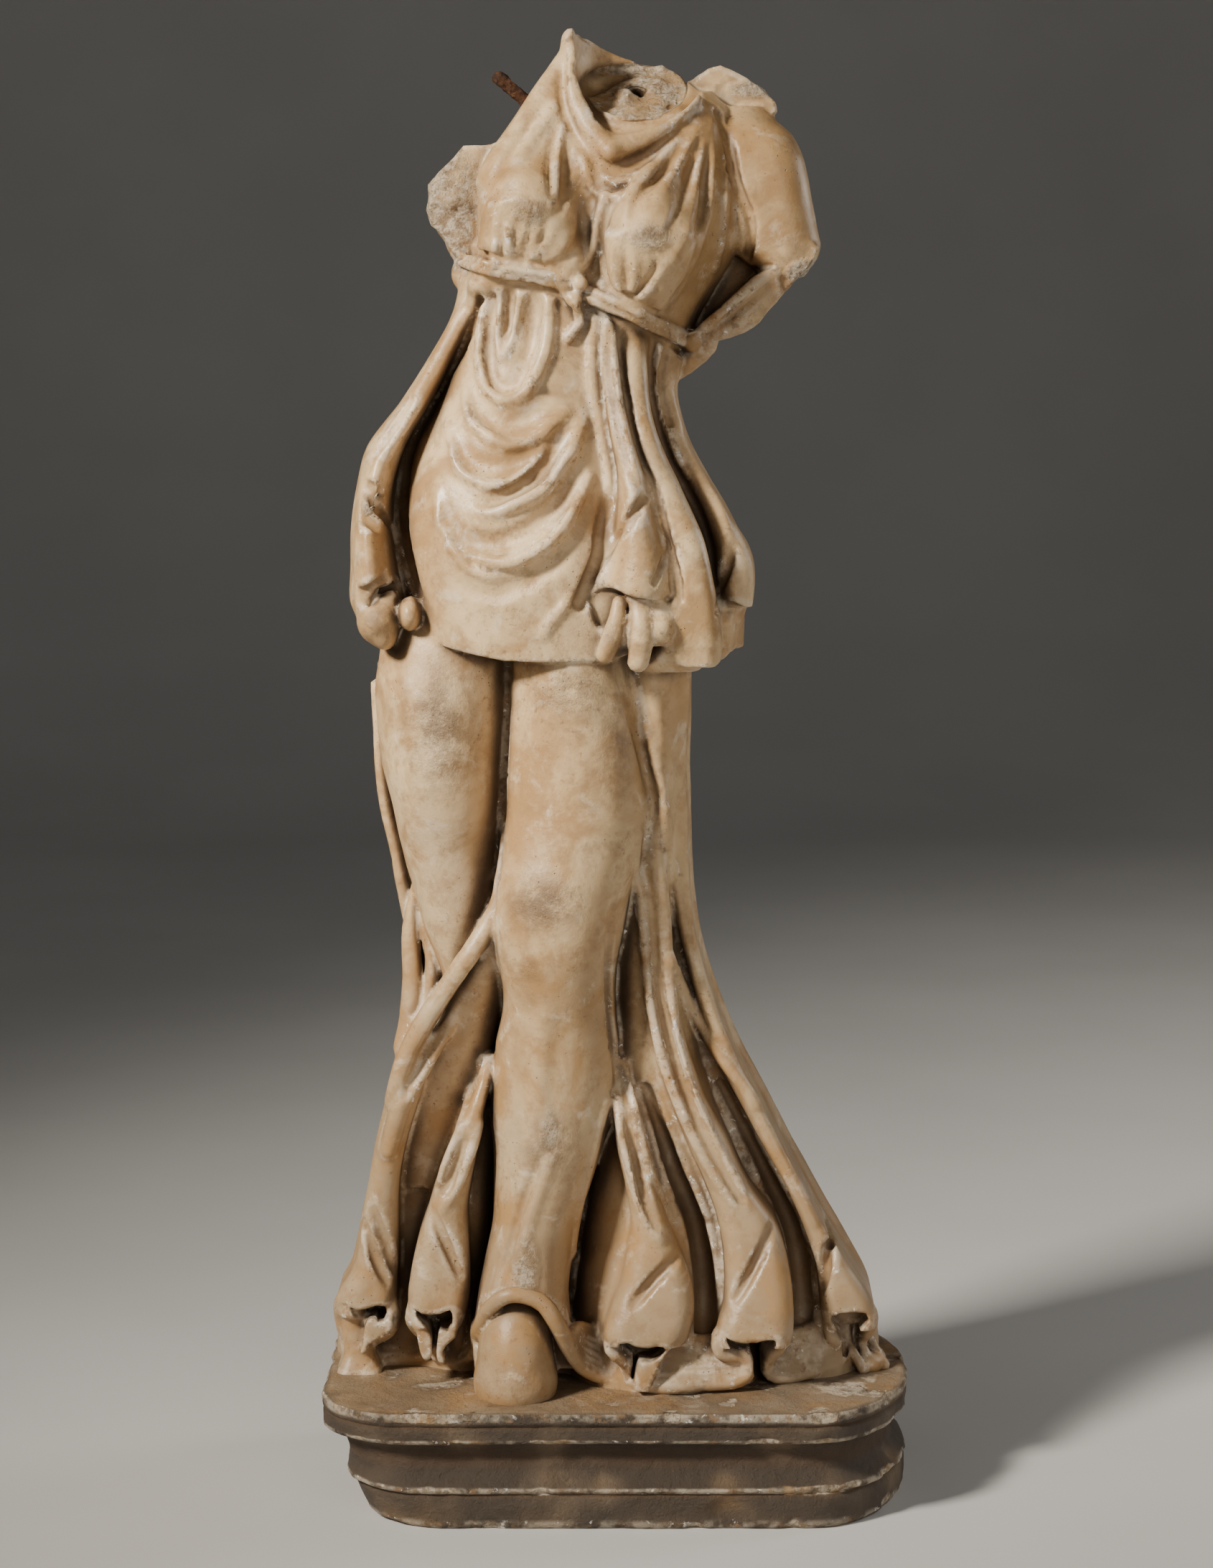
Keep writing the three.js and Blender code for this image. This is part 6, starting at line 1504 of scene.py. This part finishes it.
def marble_colour(m, hollow, edge, broken, stain_and_shade, crust):
    """Cream marble with clouds, soil and painted shade low down, stains, crust, dirt and painted shade,
    rubbed edges with painted highlight, nicked edges, and rough breaks.
    """
    clouds = m.patches((8, 5, 0.6), 0.36, 0.64, distortion=0.4)
    color = m.blend(clouds, (0.50, 0.31, 0.14), (0.80, 0.58, 0.33))
    grey = m.patches((12, 5, 0.55), 0.54, 0.72, 0.35, stretch=(1, 1, 0.6))
    color = m.blend(grey, color, (0.56, 0.45, 0.33))
    # Darker and browner towards the foot: the soil's colour, with painted shade where the light falls off
    lower = m.times(m.ramp(m.height, 0.56, 0.06), m.patches((5, 4, 0.6), 0.2, 0.7, 1.0, 0.55))
    color = m.coat(color, lower, 0.8, (0.29, 0.215, 0.14))
    # Honey clouds, mottle and pale patches
    for noise, low, high, strength, distortion, tint in (
        ((19, 6, 0.62), 0.44, 0.64, 0.85, 0.6, (0.43, 0.245, 0.095)),
        ((62, 6, 0.70), 0.48, 0.66, 0.50, 0.0, (0.34, 0.20, 0.09)),
        ((41, 5, 0.66), 0.56, 0.70, 0.45, 0.3, (0.84, 0.71, 0.54)),
    ):
        color = m.blend(m.patches(noise, low, high, strength, distortion=distortion), color, tint)
    freckles = m.times(m.patches((210, 4, 0.7), 0.56, 0.68, 0.6), m.patches((17, 4, 0.6), 0.44, 0.62))
    color = m.blend(freckles, color, (0.26, 0.15, 0.07))
    # Stains, and the brown crust of the plinth's sides, which is also darkened as painted shade
    patch = m.times(stain_and_shade, m.patches((48, 6, 0.72), 0.36 - 0.2 * crust, 0.58 - 0.1 * crust))
    color = m.coat(color, patch, 0.88, (0.075, 0.05, 0.03) if crust else (0.17, 0.10, 0.05))
    # Painted shade: a second dark coat over the plinth's crust
    if crust:
        color = m.coat(color, stain_and_shade, 0.88, (0.062, 0.044, 0.029))
    # Dirt in the hollows, thicker where the noise lets it gather, and painted shade that is darkest deep
    # down
    dirt = m.times(m.ramp(hollow, 0.16, 0.70), m.patches((30, 5, 0.6), 0.25, 0.75, 1.0, 0.6))
    color = m.coat(color, dirt, 0.88, (0.115, 0.066, 0.035))
    # Painted shade: the deepest hollows are coated near black
    color = m.coat(color, m.ramp(hollow, 0.52, 0.88), 0.7, (0.045, 0.026, 0.015))
    # Edges: rubbed pale, which also serves as a painted highlight, and nicked to brown or clean white
    rubbed_and_highlight = m.times(m.ramp(edge, 0.25, 0.8), m.patches((60, 4, 0.6), 0.38, 0.60))
    color = m.coat(color, rubbed_and_highlight, 0.45, (0.86, 0.74, 0.57))
    nicked = m.times(m.ramp(edge, 0.35, 0.7), m.patches((110, 5, 0.7), 0.53, 0.63))
    color = m.coat(color, nicked, 0.8, (0.27, 0.16, 0.075))
    chipped = m.times(m.ramp(edge, 0.30, 0.6), m.patches((150, 5, 0.72), 0.60, 0.66, distortion=0.5))
    color = m.coat(color, chipped, 0.85, (0.90, 0.86, 0.78))
    # Breaks: pale crystals with brown grit
    crystals = m.blend(m.patches((240, 4, 0.75), 0.38, 0.62), (0.30, 0.215, 0.135), (0.74, 0.63, 0.48))
    crystals = m.blend(m.patches((38, 5, 0.6), 0.52, 0.66, 0.8), crystals, (0.50, 0.29, 0.11))
    fresh = m.times(m.ramp(broken, 0.15, 0.5), m.patches((45, 5, 0.6), 0.34, 0.50))
    if not crust:
        fresh = m.times(fresh, m.math("SUBTRACT", 1.0, m.times(patch, 0.8)))
    return m.coat(color, fresh, 0.85, crystals), dirt


def marble_bumps(m, broken, stain_and_shade, specks, crust):
    """Soft unevenness, worn grain, fine grain, a lumpy crust, pits, and crystals in the breaks."""
    grain = m.times(m.noise(130, 6, 0.72), m.patches((15, 4, 0.6), 0.40, 0.62, 1.0, 0.15))
    normal = m.bump(m.noise(34, 5, 0.5), 0.4, 0.0018)
    normal = m.bump(grain, 0.45, 0.0016, normal)
    normal = m.bump(m.noise(340, 4, 0.7), 0.3 + 0.2 * crust, 0.0006, normal)
    if crust:
        normal = m.bump(m.noise(95, 6, 0.75), 0.8, 0.004, normal)
    normal = m.bump(m.times(specks, -1.0), 0.7, 0.0012, normal)
    jagged = m.math("MAXIMUM", m.ramp(broken, 0.1, 0.5), m.times(stain_and_shade, 0.5))
    return m.bump(m.times(jagged, m.noise(150, 6, 0.75)), 0.9, 0.005, normal)


def marble_material(name, crust=0.0):
    """Old marble. It reads the numbers painted on the points: hollow, edge, broken, and stains or crust;
    hollow and crust also carry painted shade, and edge a painted highlight.
    """
    m = Nodes(name)
    hollow, edge, broken, stain_and_shade = [m.attribute(n) for n in ("hollow", "edge", "broken", "stain_and_shade")]
    color, dirt = marble_colour(m, hollow, edge, broken, stain_and_shade, crust)
    # Small dark pits and specks
    specks = m.times(m.ramp(m.cells(260), 0.06, 0.16, 1, 0), m.patches((24, 4, 0.6), 0.52, 0.66))
    m.feed(m.shader.inputs["Base Color"], m.coat(color, specks, 0.75, (0.16, 0.09, 0.045)))
    roughness = m.patches((22, 4, 0.6), 0.3, 0.7, 0.46 + 0.3 * crust, 0.30 + 0.3 * crust)
    roughness = m.math("ADD", roughness, m.times(m.math("MAXIMUM", broken, dirt), 0.3))
    m.feed(m.shader.inputs["Roughness"], roughness)
    m.shader.inputs["IOR"].default_value = 1.5
    m.shader.inputs["Specular IOR Level"].default_value = 0.5
    m.shader.inputs["Subsurface Weight"].default_value = 0.08
    m.shader.inputs["Subsurface Radius"].default_value = (1.0, 0.6, 0.35)
    m.shader.inputs["Subsurface Scale"].default_value = 0.003
    m.feed(m.shader.inputs["Normal"], marble_bumps(m, broken, stain_and_shade, specks, crust))
    return m.material


def rust_material():
    """Scaly dark rust with orange bloom."""
    m = Nodes("rusted_iron")
    scale = m.patches((260, 6, 0.7), 0.36, 0.64)
    color = m.blend(scale, (0.022, 0.012, 0.008), (0.11, 0.050, 0.026))
    color = m.blend(m.patches((150, 5, 0.65), 0.55, 0.70, 0.7), color, (0.24, 0.12, 0.055))
    m.feed(m.shader.inputs["Base Color"], color)
    m.feed(m.shader.inputs["Roughness"], m.ramp(scale, 0, 1, 0.72, 0.95))
    m.shader.inputs["Metallic"].default_value = 0.15
    m.shader.inputs["Specular IOR Level"].default_value = 0.3
    flakes = m.bump(m.noise(420, 6, 0.75), 0.9, 0.0012)
    m.feed(m.shader.inputs["Normal"], m.bump(m.cells(300), 0.5, 0.0010, flakes))
    return m.material


def floor_material():
    m = Nodes("floor")
    tone = m.patches((2.5, 3, 0.5), 0.3, 0.7)
    m.feed(m.shader.inputs["Base Color"], m.blend(tone, (0.60, 0.59, 0.57), (0.64, 0.63, 0.61)))
    m.shader.inputs["Roughness"].default_value = 0.7
    return m.material


# Stage, in metres
FLOOR = {"half": 16.0, "bend": 3.0, "radius": 1.5, "top": 7.0}
# Lamps: name, place, target, size, power, colour and spread in degrees
LAMPS = [
    ("key", (-2.1, -1.7, 2.25), (0, 0, 0.5), 0.5, 12, (1.0, 0.94, 0.84), 44),
    ("fill", (1.5, -3.0, 0.9), (0, 0, 0.4), 2.4, 30, (1.0, 0.96, 0.90), 180),
    ("rim", (2.2, 0.9, 1.3), (0, 0, 0.6), 0.8, 14, (1.0, 0.98, 0.95), 180),
]


def make_floor():
    """A pale floor that curves up far behind the statue."""
    half, bend, radius = FLOOR["half"], FLOOR["bend"], FLOOR["radius"]
    profile = [(-half, 0.0), (bend, 0.0)]
    for turn in [math.radians(a) for a in range(6, 91, 6)]:
        profile.append((bend + radius * math.sin(turn), radius - radius * math.cos(turn)))
    profile.append((bend + radius, FLOOR["top"]))
    points = np.array([(x, y, z) for y, z in profile for x in (-half, half)]) / MM
    faces = np.array([(2 * n, 2 * n + 1, 2 * n + 3, 2 * n + 2) for n in range(len(profile) - 1)])
    floor = mesh_object("floor", points, faces)
    floor.data.materials.append(floor_material())


def make_light(name, place, target, size, power, color, spread):
    data = bpy.data.lights.new(name, "AREA")
    data.size = size
    data.energy = power
    data.color = color
    data.spread = math.radians(spread)
    lamp = bpy.data.objects.new(name, data)
    lamp.location = place
    direction = np.array(target) - np.array(place)
    lamp.rotation_euler = Vector(direction).to_track_quat("-Z", "Y").to_euler()
    bpy.context.scene.collection.objects.link(lamp)


def make_studio():
    for lamp in LAMPS:
        make_light(*lamp)
    world = bpy.data.worlds.new("studio")
    world.use_nodes = True
    background = world.node_tree.nodes["Background"]
    background.inputs["Color"].default_value = (0.84, 0.83, 0.82, 1)
    background.inputs["Strength"].default_value = 0.07
    bpy.context.scene.world = world


marble = marble_material("marble")
crust_and_shade = marble_material("marble_plinth", 1.0)
rust = rust_material()
for piece, node, slot in (
    (make_figure(marble), "statue", "marble"),
    (make_plinth(crust_and_shade), "statue", "marble"),
    (make_dowel(rust), "shoulder_dowel", "rusted_iron"),
):
    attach(piece, "root")
    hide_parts(node)
make_floor()
make_studio()
